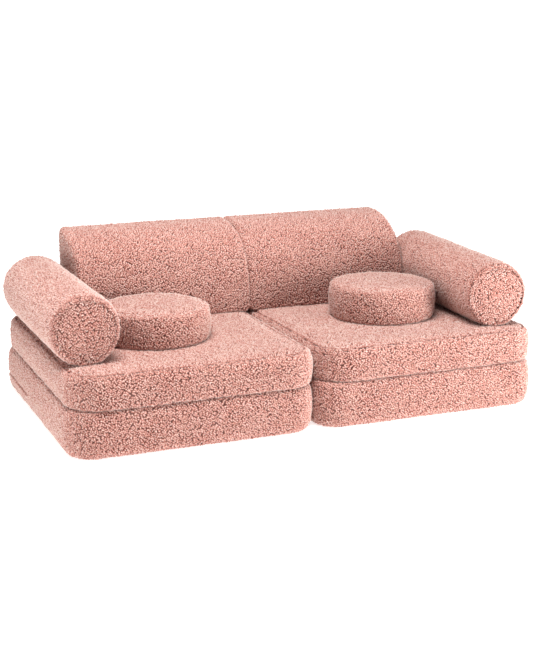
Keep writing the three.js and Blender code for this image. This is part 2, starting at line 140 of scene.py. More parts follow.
# %% Outlines as four sides
def rounded_rectangle(width, depth, corner):
    """Four sides that meet in the middle of the rounded corners, anticlockwise."""
    x, y = width / 2 - corner, depth / 2 - corner
    centres = [(-x, -y), (x, -y), (x, y), (-x, y)]
    sides = []
    for side in range(4):
        first = arc(centres[side], corner, side + 2.5, side + 3)
        last = arc(centres[(side + 1) % 4], corner, side + 3, side + 3.5)
        sides.append(np.concatenate([first, last]))
    return sides


def circle(diameter, start=2.5):
    """Four quarters of a circle, the first of which starts at so many quarter turns."""
    return [arc((0, 0), diameter / 2, side + start, side + start + 1, count=96) for side in range(4)]


class Outline:
    """Four sides with even points: the closed line, its outward directions, and where each point is."""

    def __init__(self, sides, spacing, stops=()):
        lengths = [run_along(side)[-1] for side in sides]
        places = [places_between([0, length], spacing) for length in lengths]
        if stops:
            places[0] = places_between([0, *stops, lengths[0]], spacing)
            places[2] = np.linspace(0, lengths[2], len(places[0]))
        for side in (0, 1):
            if len(places[side]) != len(places[side + 2]):
                places[side + 2] = np.linspace(0, lengths[side + 2], len(places[side]))
        self.counts = (len(places[0]) - 1, len(places[1]) - 1)
        self.line = np.concatenate([
            read_at(side, run_along(side), at[:-1]) for side, at in zip(sides, places)])
        self.around = np.concatenate([k + places[k][:-1] / lengths[k] for k in range(4)])
        self.walk = np.concatenate([sum(lengths[:k]) + places[k][:-1] for k in range(4)])
        ahead = np.roll(self.line, -1, axis=0) - np.roll(self.line, 1, axis=0)
        out = np.stack([ahead[:, 1], -ahead[:, 0]], axis=1)
        self.out = out / np.linalg.norm(out, axis=1, keepdims=True)

    def ring(self, inset):
        """The outline with every point moved in."""
        return self.line - self.out * inset


print("a slab's outline has", len(rounded_rectangle(1, 1, 0.1)), "sides")

# %% [markdown]
# A cap takes its border from the band, so that both share their points. A cap that is seen is a fine
# grid. One that stays hidden under its cushion is only a few rings, because nobody looks at it.

# %% Caps
def put_edge(grid, ring):
    """Sets the border of a cap's grid to the ring that it shares with the band."""
    a, b = grid.shape[0] - 1, grid.shape[1] - 1
    closed = np.concatenate([ring, ring[:1]])
    grid[:, 0], grid[-1] = closed[:a + 1], closed[a:a + b + 1]
    grid[:, -1], grid[0] = closed[a + b:2 * a + b + 1][::-1], closed[2 * a + b:][::-1]


def stretched_grid(ring, counts):
    """A grid of points inside a closed ring of four sides."""
    a, b = counts
    edge = np.zeros((a + 1, b + 1, 3))
    put_edge(edge, ring)
    front, back, left, right = edge[:, :1], edge[:, -1:], edge[:1], edge[-1:]
    u = np.linspace(0, 1, a + 1)[:, None, None]
    v = np.linspace(0, 1, b + 1)[None, :, None]
    ruled = (1 - v) * front + v * back + (1 - u) * left + u * right
    corners = (1 - u) * ((1 - v) * front[0] + v * back[0]) + u * ((1 - v) * front[-1] + v * back[-1])
    return ruled - corners


def distance_in(grid, ring):
    """How far each point of a grid lies from the nearest point of the ring round it."""
    flat = grid[..., :2].reshape(-1, 2).astype(np.float32)
    edge = ring[::2, :2].astype(np.float32)
    parts = np.array_split(flat, GRID_PARTS)
    found = [np.sqrt(((part[:, None] - edge) ** 2).sum(2).min(1)) for part in parts]
    return np.concatenate(found).reshape(grid.shape[:2])


def smooth(share):
    """From 0 to 1 with level ends."""
    share = np.clip(share, 0, 1)
    return share * share * (3 - 2 * share)


GRID_PARTS = 64  # a grid is measured in so many parts, so that the distances fit into memory
HIDDEN_RINGS = (0.993, 0.98, 0.95, 0.88, 0.7, 0.35)  # sizes of the rings of a cap that stays hidden
print("a hidden cap has", len(HIDDEN_RINGS), "rings")

# %% [markdown]
# ## From an outline to a skin
# A skin keeps its band and its caps as arrays of points, so a change of shape is a sum on an array.
# Only at the end do they become one mesh. Its map lays the band and the caps out flat, at one scale,
# as a pattern cutter would.

# %% The skin
class Skin:
    """A closed cover: a band of levels, and at each end a cap that is a fine grid or a plain fan."""

    def __init__(self, form, spacing, fine=True):
        self.form = form
        outline = Outline(form["sides"], spacing, form.get("column_stops", ()) if fine else ())
        self.outline = outline
        wall = form["wall"]
        run = run_along(wall)
        self.rows = places_between([0, *(form.get("row_stops", ()) if fine else ()), run[-1]], spacing)
        self.along = self.rows / run[-1]
        ring = form.get("ring", Outline.ring)
        self.band = np.stack([
            np.column_stack([ring(outline, inset), np.full(len(outline.line), level)])
            for inset, level in read_at(wall, run, self.rows)])
        self.caps = []
        for end, sign in ((0, -1), (-1, 1)):
            kind, rise = form["caps"][end]
            edge = self.band[end]
            if kind == "grid":
                grid = stretched_grid(edge, outline.counts)
                grid[..., 2] += sign * rise(distance_in(grid, edge))
                put_edge(grid, edge)
            else:
                middle = edge.mean(0)
                grid = np.stack([middle + (edge - middle) * share for share in HIDDEN_RINGS])
            self.caps.append(grid)
        self.hidden = [form["caps"][end][0] != "grid" for end in (0, 1)]

    def points(self):
        """All points in the order of the mesh: the band, then for each cap what the band doesn't hold."""
        parts = [self.band.reshape(-1, 3)]
        for grid, hidden in zip(self.caps, self.hidden):
            if hidden:
                parts += [grid.reshape(-1, 3), grid[-1].mean(0)[None]]
            else:
                parts.append(grid[1:-1, 1:-1].reshape(-1, 3))
        return np.concatenate(parts)

    def take(self, points):
        """Puts back points that were changed elsewhere."""
        at = self.band.size // 3
        self.band = points[:at].reshape(self.band.shape).copy()
        for end, (grid, hidden) in enumerate(zip(self.caps, self.hidden)):
            if hidden:
                size = grid.size // 3
                grid[:] = points[at:at + size].reshape(grid.shape)
                at += size + 1
            else:
                inner = grid[1:-1, 1:-1]
                inner[:] = points[at:at + inner.size // 3].reshape(inner.shape)
                at += inner.size // 3
                put_edge(grid, self.band[-end])

    def placed(self):
        """The points in the scene."""
        place = np.array(self.form["place"])
        return self.points() @ place[:3, :3].T + place[:3, 3]


trial_wall = arc((0.2, 0.2), 0.2, 3, 2)
trial = Skin(dict(sides=rounded_rectangle(1, 1, 0.2), wall=trial_wall, caps=[("fan", None)] * 2), 0.1)
print("a skin of 1 m with points every 10 cm has", len(trial.points()), "of them")

# %% [markdown]
# The faces follow from the order of the points. Each side of the band and each cap is an island of its
# own on the map, and the islands are put on shelves in a square, the tallest first.

# %% Faces and map
def grid_faces(index):
    return np.stack([index[:-1, :-1], index[1:, :-1], index[1:, 1:], index[:-1, 1:]], -1).reshape(-1, 4)


def grid_map(u, v):
    flat = np.stack([u, v], -1)
    return np.stack([flat[:-1, :-1], flat[1:, :-1], flat[1:, 1:], flat[:-1, 1:]], 2).reshape(-1, 4, 2)


HIDDEN_SCALE = 0.2  # of a hidden cap on the map


def islands_of(skin):
    """Pairs of faces and their places on the map, in metres, and apart the middles of hidden caps."""
    rows, columns = skin.band.shape[:2]
    index = np.arange(rows * columns).reshape(rows, columns)
    a, b = skin.outline.counts
    total = sum(run_along(side)[-1] for side in skin.form["sides"])
    walk = np.concatenate([skin.outline.walk, [total]])
    islands, first = [], 0
    for count in (a, b, a, b):
        span = np.arange(first, first + count + 1)
        u, v = np.meshgrid(walk[span], skin.rows, indexing="ij")
        islands.append((grid_faces(index[:, span % columns].T), grid_map(u, v)))
        first += count
    at = rows * columns
    fans = []
    for end, (grid, hidden) in enumerate(zip(skin.caps, skin.hidden)):
        edge = index[-end]
        if hidden:
            rings = np.concatenate([edge[None], at + np.arange(grid.size // 3).reshape(grid.shape[:2])])
            middle = at + grid.size // 3
            at = middle + 1
            flat = np.concatenate([skin.band[-end][None], grid])[..., :2]
            closed = np.concatenate([rings, rings[:, :1]], 1)
            flat = np.concatenate([flat, flat[:, :1]], 1) * HIDDEN_SCALE
            faces, places = grid_faces(closed.T), grid_map(flat[..., 0].T, flat[..., 1].T)
            tip = [(closed[-1, k], closed[-1, k + 1], middle) for k in range(closed.shape[1] - 1)]
            centre = flat[-1, :-1].mean(0)
            tip_map = [(flat[-1, k], flat[-1, k + 1], centre) for k in range(closed.shape[1] - 1)]
            fans.append((np.array(tip), np.array(tip_map), len(islands), end))
        else:
            whole = np.zeros((a + 1, b + 1), int)
            inner = whole[1:-1, 1:-1]
            inner[:] = at + np.arange(inner.size).reshape(inner.shape)
            at += inner.size
            put_edge(whole[..., None], edge[:, None])
            faces, places = grid_faces(whole), grid_map(grid[..., 0], grid[..., 1])
        if end == 0:
            faces, places = faces[:, ::-1], places[:, ::-1]
        islands.append((faces, places))
    return islands, fans


print("its map has", len(islands_of(trial)[0]), "islands")

# %% Shelves on the map
MAP_MARGIN = 0.002  # round the whole map, which is 1 wide
SHELF_GAP = 1.01  # room for an island on its shelf, as a share of its size
FIRST_WIDTH, NEXT_WIDTH = 1.02, 1.03  # of the square, as shares of the islands' own and of the last try


def shelve(islands, fans):
    """Moves the islands to shelves in a square, and scales all of them to it."""
    boxes = []
    for number, (_, places) in enumerate(islands):
        low, high = places.min((0, 1)), places.max((0, 1))
        turned = high[0] - low[0] > high[1] - low[1]
        boxes.append([number, low, high - low, turned])
    sizes = {n: (size[::-1] if turned else size) for n, low, size, turned in boxes}
    order = sorted(sizes, key=lambda n: -sizes[n][1])
    width = math.sqrt(sum(s[0] * s[1] for s in sizes.values())) * FIRST_WIDTH
    while True:
        x = y = shelf = 0.0
        spots = {}
        for n in order:
            if x + sizes[n][0] > width:
                x, y, shelf = 0.0, y + shelf, 0.0
            spots[n] = (x, y)
            x += sizes[n][0] * SHELF_GAP
            shelf = max(shelf, sizes[n][1] * SHELF_GAP)
        if y + shelf <= width:
            break
        width *= NEXT_WIDTH
    for n, low, size, turned in boxes:
        for places in [islands[n][1]] + [fan[1] for fan in fans if fan[2] == n]:
            moved = places - low
            if turned:
                moved = np.stack([moved[..., 1], size[0] - moved[..., 0]], -1)
            places[:] = (moved + spots[n]) / width * (1 - 2 * MAP_MARGIN) + MAP_MARGIN


trial_islands, trial_fans = islands_of(trial)
shelve(trial_islands, trial_fans)
print("they fill it up to", round(max(places.max() for _, places in trial_islands), 3))

# %% One mesh
def mesh_of(name, skin, points):
    """One mesh from a skin's faces and map, with points given in the order of skin.points()."""
    islands, fans = islands_of(skin)
    scales = [1] * 4 + [HIDDEN_SCALE if hidden else 1 for hidden in skin.hidden]
    cloth = [(where / scale).reshape(-1, 2) for (_, where), scale in zip(islands, scales)]
    cloth += [(tip_map[:, ::-1] if end == 0 else tip_map).reshape(-1, 2) / HIDDEN_SCALE
              for _, tip_map, _, end in fans]
    shelve(islands, fans)
    fours = np.concatenate([faces for faces, _ in islands])
    corners = [fours.ravel()]
    places = [np.concatenate([where.reshape(-1, 2) for _, where in islands])]
    sizes = [np.full(len(fours), 4)]
    for tip, tip_map, _, end in fans:
        if end == 0:
            tip, tip_map = tip[:, ::-1], tip_map[:, ::-1]
        corners.append(tip.ravel())
        places.append(tip_map.reshape(-1, 2))
        sizes.append(np.full(len(tip), 3))
    corners, sizes = np.concatenate(corners), np.concatenate(sizes)
    mesh = bpy.data.meshes.new(name)
    mesh.vertices.add(len(points))
    mesh.vertices.foreach_set("co", points.astype(np.float32).ravel())
    mesh.loops.add(len(corners))
    mesh.loops.foreach_set("vertex_index", corners.astype(np.int32))
    mesh.polygons.add(len(sizes))
    starts = np.concatenate([[0], np.cumsum(sizes)[:-1]])
    mesh.polygons.foreach_set("loop_start", starts.astype(np.int32))
    mesh.update(calc_edges=True)
    mesh.uv_layers.new(name="OFBake")
    mesh.uv_layers[0].uv.foreach_set("vector", np.concatenate(places).astype(np.float32).ravel())
    mesh.polygons.foreach_set("use_smooth", np.ones(len(sizes), bool))
    cloth = np.concatenate(cloth) + skin.form["cut_from"][:2]
    weave = mesh.attributes.new("weave", "FLOAT_VECTOR", "CORNER")
    weave.data.foreach_set("vector", np.column_stack([cloth, 0 * cloth[:, 0]]).astype(np.float32).ravel())
    rest = mesh.attributes.new("rest", "FLOAT_VECTOR", "POINT")
    rest.data.foreach_set("vector", (skin.points() + skin.form["cut_from"]).astype(np.float32).ravel())
    mesh.validate()
    return mesh


trial.form["cut_from"] = np.zeros(3)
trial_mesh = mesh_of("trial", trial, trial.points())
print("as a mesh it has", len(trial_mesh.polygons), "faces")
bpy.data.meshes.remove(trial_mesh)

# %% [markdown]
# ## The five kinds of cushion
# A wall is a line from one end of the cushion to the other, and each of its points says how far in it
# lies. Foam pushes a wall out in its middle and the seams draw it in at its edges, by 3 mm here.
# A zip takes a groove, so the points beside it are set where the groove needs them.

# %% Walls
GROOVE = np.array([3.4, 4.8, 7.2]) * MM  # half widths of a zip groove: its floor, its side, its lips
GROOVE_DEPTHS = (1, 1, 0.62, 0)  # shares of its depth, in its middle and at these three
GROOVE_STOPS = np.concatenate([-GROOVE[::-1], GROOVE])
GROOVE_END = 8 * MM  # over which a groove fades out
WALL_DRAW = 3 * MM
WALL_STEPS = 40


def slab_wall(height, low_edge, high_edge, draw, crown=0):
    """The wall of a slab from its bottom to its top."""
    shoulder = height - crown
    t = np.linspace(0, 1, WALL_STEPS + 1)
    straight = np.column_stack([draw * (2 * t - 1) ** 2, low_edge + t * (shoulder - low_edge - high_edge)])
    low = arc((low_edge, low_edge), low_edge, 3, 2)
    high = arc((high_edge, shoulder - high_edge), high_edge, 2, 1)
    low[:, 0] += draw
    high[:, 0] += draw
    return np.concatenate([low, straight[1:-1], high])


def across_wall(wall, level, share):
    """A groove round a slab at one height. share says for points of the outline how much of it is there."""
    place = np.interp(level, wall[:, 1], run_along(wall))
    return dict(row_stops=tuple(place + GROOVE_STOPS), groove=("across wall", place, share))


def along_wall(place, half):
    """A groove along a cushion's length, at one place of the outline's first side."""
    return dict(column_stops=tuple(place + GROOVE_STOPS), groove=("along wall", place, half))


def fade(length):
    """From 0 to 1 over the end of a groove."""
    return smooth(length / GROOVE_END + 0.5)


def crowned(rise, reach):
    """A cap that rises over its border and levels out."""
    return lambda distance: rise * (1 - (1 - np.clip(distance / reach, 0, 1)) ** 2)


print("a wall is drawn in by", WALL_DRAW / MM, "mm")

# %% [markdown]
# Both slabs and the round cushion are one shape with other numbers: flat below, with a wall round it,
# and a low crown on top. Each form can also be had smaller all round, for the foam inside it.

# %% Slabs and round cushions
EDGE_SEAM = 4 * MM  # from the end of a wall's line to the seam round a panel
BASE = dict(width=762 * MM, depth=892 * MM, height=142 * MM, corner=87 * MM, edges=(33 * MM, 26 * MM))
SEAT = dict(width=762 * MM, depth=892 * MM, height=102 * MM, corner=107 * MM, edges=(15 * MM, 21 * MM))
DISC = dict(diameter=346 * MM, height=112 * MM, edges=(20 * MM, 13 * MM))
CROWN, SEAT_CROWN_REACH, DISC_CROWN_REACH = 3 * MM, 40 * MM, 50 * MM
LEFT_DISC_PRESSED = 7 * MM  # the left round cushion is thinner in the photograph than the right one
BASE_ZIP = dict(height=57 * MM, front=82 * MM)
SEAT_ZIP = dict(height=48 * MM, half=256 * MM)
DISC_ZIP_HALF = 10 * math.pi / 32  # radians from a round cushion's back to an end of its zip


def drawn_by(inside):
    """How far a form's sides lie inside the cover's widest line: a core is as narrow as the drawn wall."""
    return WALL_DRAW + inside if inside else 0


def slab_sides(size, inside):
    side = drawn_by(inside)
    return rounded_rectangle(size["width"] - 2 * side, size["depth"] - 2 * side, size["corner"] - side)


def wall_of(size, inside, crown=0, pressed=0.0):
    low_edge, high_edge = (edge - inside for edge in size["edges"])
    draw = 0 if inside else WALL_DRAW
    wall = slab_wall(size["height"] - pressed - 2 * inside, low_edge, high_edge, draw, crown)
    wall[:, 1] += inside
    return wall


def base_form(inside=0.0):
    wall = wall_of(BASE, inside)
    groove = across_wall(wall, BASE_ZIP["height"], lambda line: fade(line[:, 1] - BASE_ZIP["front"]))
    return dict(sides=slab_sides(BASE, inside), wall=wall, caps=[("fan", None)] * 2,
                seams=(EDGE_SEAM,), seam_depth=0.5, **groove)


def seat_form(inside=0.0):
    wall = wall_of(SEAT, inside, CROWN)
    groove = across_wall(wall, SEAT_ZIP["height"], lambda line: (line[:, 1] > 0) * fade(
        SEAT_ZIP["half"] - np.abs(line[:, 0])))
    top = ("grid", crowned(CROWN, SEAT_CROWN_REACH))
    return dict(sides=slab_sides(SEAT, inside), wall=wall, caps=[("fan", None), top],
                seams=(EDGE_SEAM,), **groove)


def disc_form(inside=0.0, pressed=0.0):
    wall = wall_of(DISC, inside, CROWN, pressed)
    groove = across_wall(wall, DISC["height"] / 2, lambda line: fade(
        (DISC_ZIP_HALF - np.abs(np.arctan2(line[:, 0], line[:, 1]))) * DISC["diameter"] / 2))
    top = ("grid", crowned(CROWN, DISC_CROWN_REACH))
    return dict(sides=circle(DISC["diameter"] - 2 * drawn_by(inside)), wall=wall, caps=[("fan", None), top],
                seams=(EDGE_SEAM,), seam_depth=0.1, **groove)


def left_disc_form(inside=0.0):
    return disc_form(inside, LEFT_DISC_PRESSED)


heights = [round(size["height"] / MM) for size in (BASE, SEAT, DISC)]
print("bases, seats and round cushions are", heights, "mm high")

# %% [markdown]
# A bolster's end panel is sewn to its wall in a ring, and the wall rolls over before it reaches that
# ring. The panel is a dome, so the wall's line starts at the ring seam, in the groove between both.
# A backrest has a flat back and a flat foot, and between them a front that bulges more than a quarter
# circle. Its ends shrink towards the middle of its section as they roll over.

# %% Bolsters
ROLL = dict(radius=103 * MM, length=666 * MM, rim=11 * MM, fall=3 * MM, seam=3 * MM, depth=8 * MM)
ROLL_STEP = np.array([1.2, 0.6]) * MM  # the first step out of the groove at the ring seam
ROLL_REACH = 70 * MM  # from an end to where the wall is widest
ROLL_STEPS = 20
ROLL_SEAM = 20 * MM  # the second seam of a bolster's rolled edge
PANEL_RISES, PANEL_REACHES = (6.8 * MM, 1.2 * MM), (10 * MM, 82 * MM)  # a steep rise and a low dome
ROLL_ZIP = dict(turn=2 - 4 * 4 / 28, half=275 * MM)  # the turn is in quarters from the top, to the right


def end_panel(distance):
    """Rise of a bolster's end panel over its seam."""
    steep = PANEL_RISES[0] * np.exp(-distance / PANEL_REACHES[0])
    low = PANEL_RISES[1] * (1 - np.clip(distance / PANEL_REACHES[1], 0, 1))
    return ROLL["depth"] - (steep + low)


def bolster_form(inside=0.0):
    radius, half = ROLL["radius"], ROLL["length"] / 2
    if inside:
        wall = slab_wall(2 * (half - ROLL["depth"] - inside), *[ROLL["rim"] - inside] * 2, 0)
        wall[:, 1] -= half - ROLL["depth"] - inside
        return dict(sides=circle(2 * (radius - drawn_by(inside))), wall=wall, caps=[("fan", None)] * 2)
    rim, fall = ROLL["rim"], ROLL["fall"]
    seam = np.array([WALL_DRAW + rim + ROLL["seam"], ROLL["depth"]])
    start = np.array([seam, seam - ROLL_STEP])
    rolled = arc((WALL_DRAW + rim, fall + rim), rim, 3, 2)
    t = np.linspace(0, 1, ROLL_STEPS + 1)[1:]
    swell = np.column_stack([WALL_DRAW * (1 - t) ** 2, fall + rim + t * (ROLL_REACH - fall - rim)])
    front = np.concatenate([start, rolled, swell])
    back = front[::-1].copy()
    front[:, 1] -= half
    back[:, 1] = half - back[:, 1]
    groove = along_wall(radius * math.pi / 4, ROLL_ZIP["half"])
    return dict(sides=circle(2 * radius, ROLL_ZIP["turn"] - 0.5), wall=np.concatenate([front, back]),
                caps=[("grid", end_panel)] * 2, seams=(0, ROLL_SEAM), seam_depth=0.45, **groove)


print("bolsters", ROLL["length"] / MM, "mm long and", 2 * ROLL["radius"] / MM, "mm thick")

# %% Backrests
REST_ZIP = dict(height=52 * MM, half=233 * MM)
REST_BACK = dict(length=578 * MM, depth=281 * MM, height=281 * MM, back=22 * MM, foot=16 * MM, end=17 * MM)
FRONT_POWER = 2 / 2.6  # of the sine and cosine of the front; 1 would make it a quarter circle
FRONT_STEPS = 60


def backrest_form(inside=0.0):
    side = drawn_by(inside)
    depth, height = REST_BACK["depth"] - 2 * side, REST_BACK["height"] - 2 * side
    back, foot, end = (REST_BACK[k] - side for k in ("back", "foot", "end"))
    first = math.asin((back / depth) ** (1 / FRONT_POWER))
    last = math.acos((foot / height) ** (1 / FRONT_POWER))

    def front(start, stop):
        t = np.linspace(start, stop, FRONT_STEPS + 1)
        return np.column_stack([
            depth / 2 - depth * np.sin(t) ** FRONT_POWER, height * np.cos(t) ** FRONT_POWER])

    y = depth / 2 - back
    middle = math.pi / 4
    sides = [
        np.concatenate([arc((y, back), back, 3.5, 4), arc((y, height - back), back, 0, 0.5)]),
        np.concatenate([arc((y, height - back), back, 0.5, 1), front(first, middle)[1:]]),
        np.concatenate([front(middle, last), arc((foot - depth / 2, foot), foot, 2, 2.5)[1:]]),
        np.concatenate([arc((foot - depth / 2, foot), foot, 2.5, 3), arc((y, back), back, 3, 3.5)]),
    ]
    for points in sides:
        points[:, 1] += side
    half = REST_BACK["length"] / 2 - side
    low, high = arc((end, end - half), end, 3, 2), arc((end, half - end), end, 2, 1)
    wall = np.concatenate([low, high])
    run = run_along(sides[0])
    groove = along_wall(np.interp(REST_ZIP["height"], sides[0][:, 1], run), REST_ZIP["half"])

    def ring(outline, inset):
        middle = np.array([0, REST_BACK["height"] / 2])
        return middle + (outline.line - middle) * (1 - 2 * inset / np.array([depth, height]))

    return dict(sides=sides, wall=wall, ring=ring, caps=[("grid", lambda distance: 0 * distance)] * 2,
                seams=(EDGE_SEAM,), seam_depth=0.25, **groove)


print("backrests", REST_BACK["length"] / MM, "mm long and", REST_BACK["height"] / MM, "mm high")

# %% [markdown]
# ## Where the cushions lie
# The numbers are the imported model's own. They are checked here against its boxes, so that a cover can't
# drift from the solid that it stands for. Each cushion is cut from its own place of the cloth.

# %% The ten cushions
def at(x, y, z, turned=0.0):
    """A place in millimetres, turned by so many degrees about the upward axis."""
    return Matrix.Translation((x * MM, y * MM, z * MM)) @ Matrix.Rotation(math.radians(turned), 4, "Z")


ALONG_X = Matrix(((0, 0, 1, 0), (1, 0, 0, 0), (0, 1, 0, 0), (0, 0, 0, 1)))  # a section's axes to Y and Z
ALONG_Y = Matrix(((0, 1, 0, 0), (0, 0, 1, 0), (1, 0, 0, 0), (0, 0, 0, 1)))  # a section's axes to Z and X
CUSHIONS = {
    "left_base": (base_form, at(-393.45, 3, 0)),
    "right_base": (base_form, at(368.85, -3, 0)),
    "left_seat": (seat_form, at(-385.45, 3, 142.3)),
    "right_seat": (seat_form, at(376.85, 3, 142.3)),
    "left_backrest": (backrest_form, at(-293.448, 274.5, 244.6) @ ALONG_X),
    "right_backrest": (backrest_form, at(284.848, 274.5, 244.6) @ ALONG_X),
    "left_bolster": (bolster_form, at(-685.098, 14, 346.952) @ ALONG_Y),
    "right_bolster": (bolster_form, at(663.592, -34, 346.952, -4.5) @ ALONG_Y),
    "left_round_cushion": (left_disc_form, at(-409.445, -74, 244.6)),
    "right_round_cushion": (disc_form, at(375.775, -74, 244.6)),
}

CLOTH_STEP = np.array([1.7, 0.9, 0.4])  # metres on the cloth from cushion to cushion
MOST_OFF = 8 * MM
coarse, fine = {}, {}
for number, (name, (form_of, place)) in enumerate(CUSHIONS.items()):
    form = form_of()
    form["place"] = place
    form["cut_from"] = CLOTH_STEP * number
    coarse[name] = Skin(form, SIM_SPACING, fine=False)
    fine[name] = Skin(form, SPACING)
    low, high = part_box(name + "_cover")
    points = fine[name].placed()
    off = max(np.abs(points.min(0) - low).max(), np.abs(points.max(0) - high).max())
    print(f"{name}: {len(points)} points, {off / MM:.1f} mm off its solid's box")
    assert off < MOST_OFF, name

# %% [markdown]
# ## Where cushions touch
# A cushion is flat only where it rests. To know where that is, every point asks how far the nearest
# other cushion or the floor is. Near a neighbour the cover can't swell and its pile is pressed flat.

# %% Gaps to the neighbours
SWELL_REACH = 25 * MM
PILE_REACH = 5 * MM


def faces_of(skin):
    islands, fans = islands_of(skin)
    tips = [fan[0] for fan in fans]
    return [tuple(face) for part in [faces for faces, _ in islands] + tips for face in part.tolist()]


solid_trees = {}
for name, skin in coarse.items():
    points = skin.placed()
    tree = BVHTree.FromPolygons(points.tolist(), faces_of(skin))
    solid_trees[name] = (tree, points.min(0), points.max(0))


def gaps_of(name, points, reach):
    """For each point the distance to the floor or to the nearest other cushion, no more than reach."""
    gaps = np.minimum(points[:, 2], reach)
    for other, (tree, low, high) in solid_trees.items():
        if other == name:
            continue
        close = np.all((points > low - reach) & (points < high + reach), axis=1)
        for index in np.flatnonzero(close):
            found = tree.find_nearest(points[index], reach)
            if found[3] is not None and found[3] < gaps[index]:
                gaps[index] = found[3]
    return np.maximum(gaps, 0)


print("neighbours are looked for among", len(solid_trees), "cushions and the floor")

# %% [markdown]
# ## Swelling
# A zipped cover is cut a little smaller than its foam, so the foam pushes it out wherever no seam holds
# it. A cloth simulation with pressure does the same. It is run on a coarse copy of each cushion, all
# ten at once, and what it does is carried over to the fine skins, so that it takes seconds. Where a
# cushion touches something it is held. The mean swelling is taken off again: that is the smaller start
# that keeps the cushion to its size.

# %% The cloth simulation
PRESSURE = 4
FRAMES = 20
MOST_SWELL = 6 * MM
MOST_CHANGE = 3 * MM  # outwards, after the mean swelling is taken off
MOST_SUNKEN = 1.5 * MM  # inwards, where the foam is near
HELD_GAP = 3 * MM


def simulate_swelling():
    """The movement of every point of the coarse skins, in the scene."""
    scene = bpy.context.scene
    sacks = {}
    for name, skin in coarse.items():
        points = skin.placed()
        sack = bpy.data.objects.new(name + "_sack", mesh_of(name + "_sack", skin, points))
        scene.collection.objects.link(sack)
        gaps = gaps_of(name, points, SWELL_REACH)
        held = sack.vertex_groups.new(name="held")
        held.add(np.flatnonzero(gaps < HELD_GAP).tolist(), 1.0, "REPLACE")
        cloth = sack.modifiers.new("swell", "CLOTH")
        cloth.settings.use_pressure = True
        cloth.settings.uniform_pressure_force = PRESSURE
        cloth.settings.vertex_group_mass = "held"
        cloth.settings.effector_weights.gravity = 0
        cloth.point_cache.frame_start, cloth.point_cache.frame_end = 1, FRAMES
        sacks[name] = (sack, points, gaps)
    for number in range(1, FRAMES + 1):
        scene.frame_set(number)
    depsgraph = bpy.context.evaluated_depsgraph_get()
    moves = {}
    for name, (sack, points, gaps) in sacks.items():
        swollen = sack.evaluated_get(depsgraph).data
        found = np.empty(len(points) * 3, np.float32)
        swollen.vertices.foreach_get("co", found)
        move = found.reshape(-1, 3) - points
        length = np.linalg.norm(move, axis=1, keepdims=True) + 1e-9
        move *= MOST_SWELL * np.tanh(length / MOST_SWELL) / length
        moves[name] = (move, smooth(gaps / SWELL_REACH))
    for sack, _, _ in sacks.values():
        mesh = sack.data
        bpy.data.objects.remove(sack)
        bpy.data.meshes.remove(mesh)
    scene.frame_set(1)
    return moves


def outward(skin):
    """The outward direction of a coarse skin at its points, in the scene."""
    mesh = mesh_of("outward", skin, skin.placed())
    normals = np.empty(len(mesh.vertices) * 3, np.float32)
    mesh.vertex_normals.foreach_get("vector", normals)
    bpy.data.meshes.remove(mesh)
    return normals.reshape(-1, 3)


# %% From the coarse skin to the fine one
def blend_matrix(places, count, closed=False):
    """Reads values that are kept at 0, 1, 2 ... at the places in between, along smooth curves."""
    low = np.floor(places + 1e-9).astype(int)
    f = (places - low)[:, None]
    taps = np.concatenate([
        -f + 2 * f ** 2 - f ** 3, 2 - 5 * f ** 2 + 3 * f ** 3,
        f + 4 * f ** 2 - 3 * f ** 3, f ** 3 - f ** 2], 1) / 2
    columns = low[:, None] + np.arange(-1, 3)
    columns = columns % count if closed else np.clip(columns, 0, count - 1)
    matrix = np.zeros((len(places), count))
    np.add.at(matrix, (np.arange(len(places))[:, None], columns), taps)
    return matrix


def carry(name, values):
    """Values at the points of a coarse skin, read at the points of the fine one."""
    rough, skin = coarse[name], fine[name]
    a, b = rough.outline.counts
    parts = rough.band.shape[:2]
    band = values[:parts[0] * parts[1]].reshape(*parts, -1)
    rows = blend_matrix(skin.along * (parts[0] - 1), parts[0])
    knots = np.append(rough.outline.around, 4)
    columns = blend_matrix(np.interp(skin.outline.around, knots, np.arange(parts[1] + 1)), parts[1], True)
    read = [np.einsum("ri,cj,ijk->rck", rows, columns, band, optimize=True).reshape(-1, values.shape[1])]
    at = parts[0] * parts[1]
    for end, hidden in enumerate(rough.hidden):
        if hidden:
            size = len(HIDDEN_RINGS) * parts[1]
            rings = values[at:at + size].reshape(len(HIDDEN_RINGS), parts[1], -1)
            read.append(np.einsum("cj,ijk->ick", columns, rings).reshape(-1, values.shape[1]))
            read.append(values[at + size][None])
            at += size + 1
        else:
            size = (a - 1) * (b - 1)
            grid = np.zeros((a + 1, b + 1, values.shape[1]))
            put_edge(grid, band[-end])
            grid[1:-1, 1:-1] = values[at:at + size].reshape(a - 1, b - 1, -1)
            fine_a, fine_b = skin.outline.counts
            over_a = blend_matrix(np.linspace(0, a, fine_a + 1)[1:-1], a + 1)
            over_b = blend_matrix(np.linspace(0, b, fine_b + 1)[1:-1], b + 1)
            inner = np.einsum("ri,cj,ijk->rck", over_a, over_b, grid, optimize=True)
            read.append(inner.reshape(-1, values.shape[1]))
            at += size
    return np.concatenate(read)


for name, (move, loose) in simulate_swelling().items():
    normals = outward(coarse[name])
    swelling = (move * normals).sum(1)
    mean = np.median(swelling[loose > 0.99])
    most = np.where(swelling > mean, MOST_CHANGE, MOST_SUNKEN)
    kept = most * np.tanh((swelling - mean) / most)
    change = (move + normals * (kept - swelling)[:, None]) * loose[:, None]
    turn = np.array(fine[name].form["place"])[:3, :3]
    fine[name].take(fine[name].points() + carry(name, change @ turn))
    low, high = kept.min() / MM, kept.max() / MM
    print(f"{name}: swelled by {mean / MM:.1f} mm, kept from {low:.1f} to {high:.1f} mm")

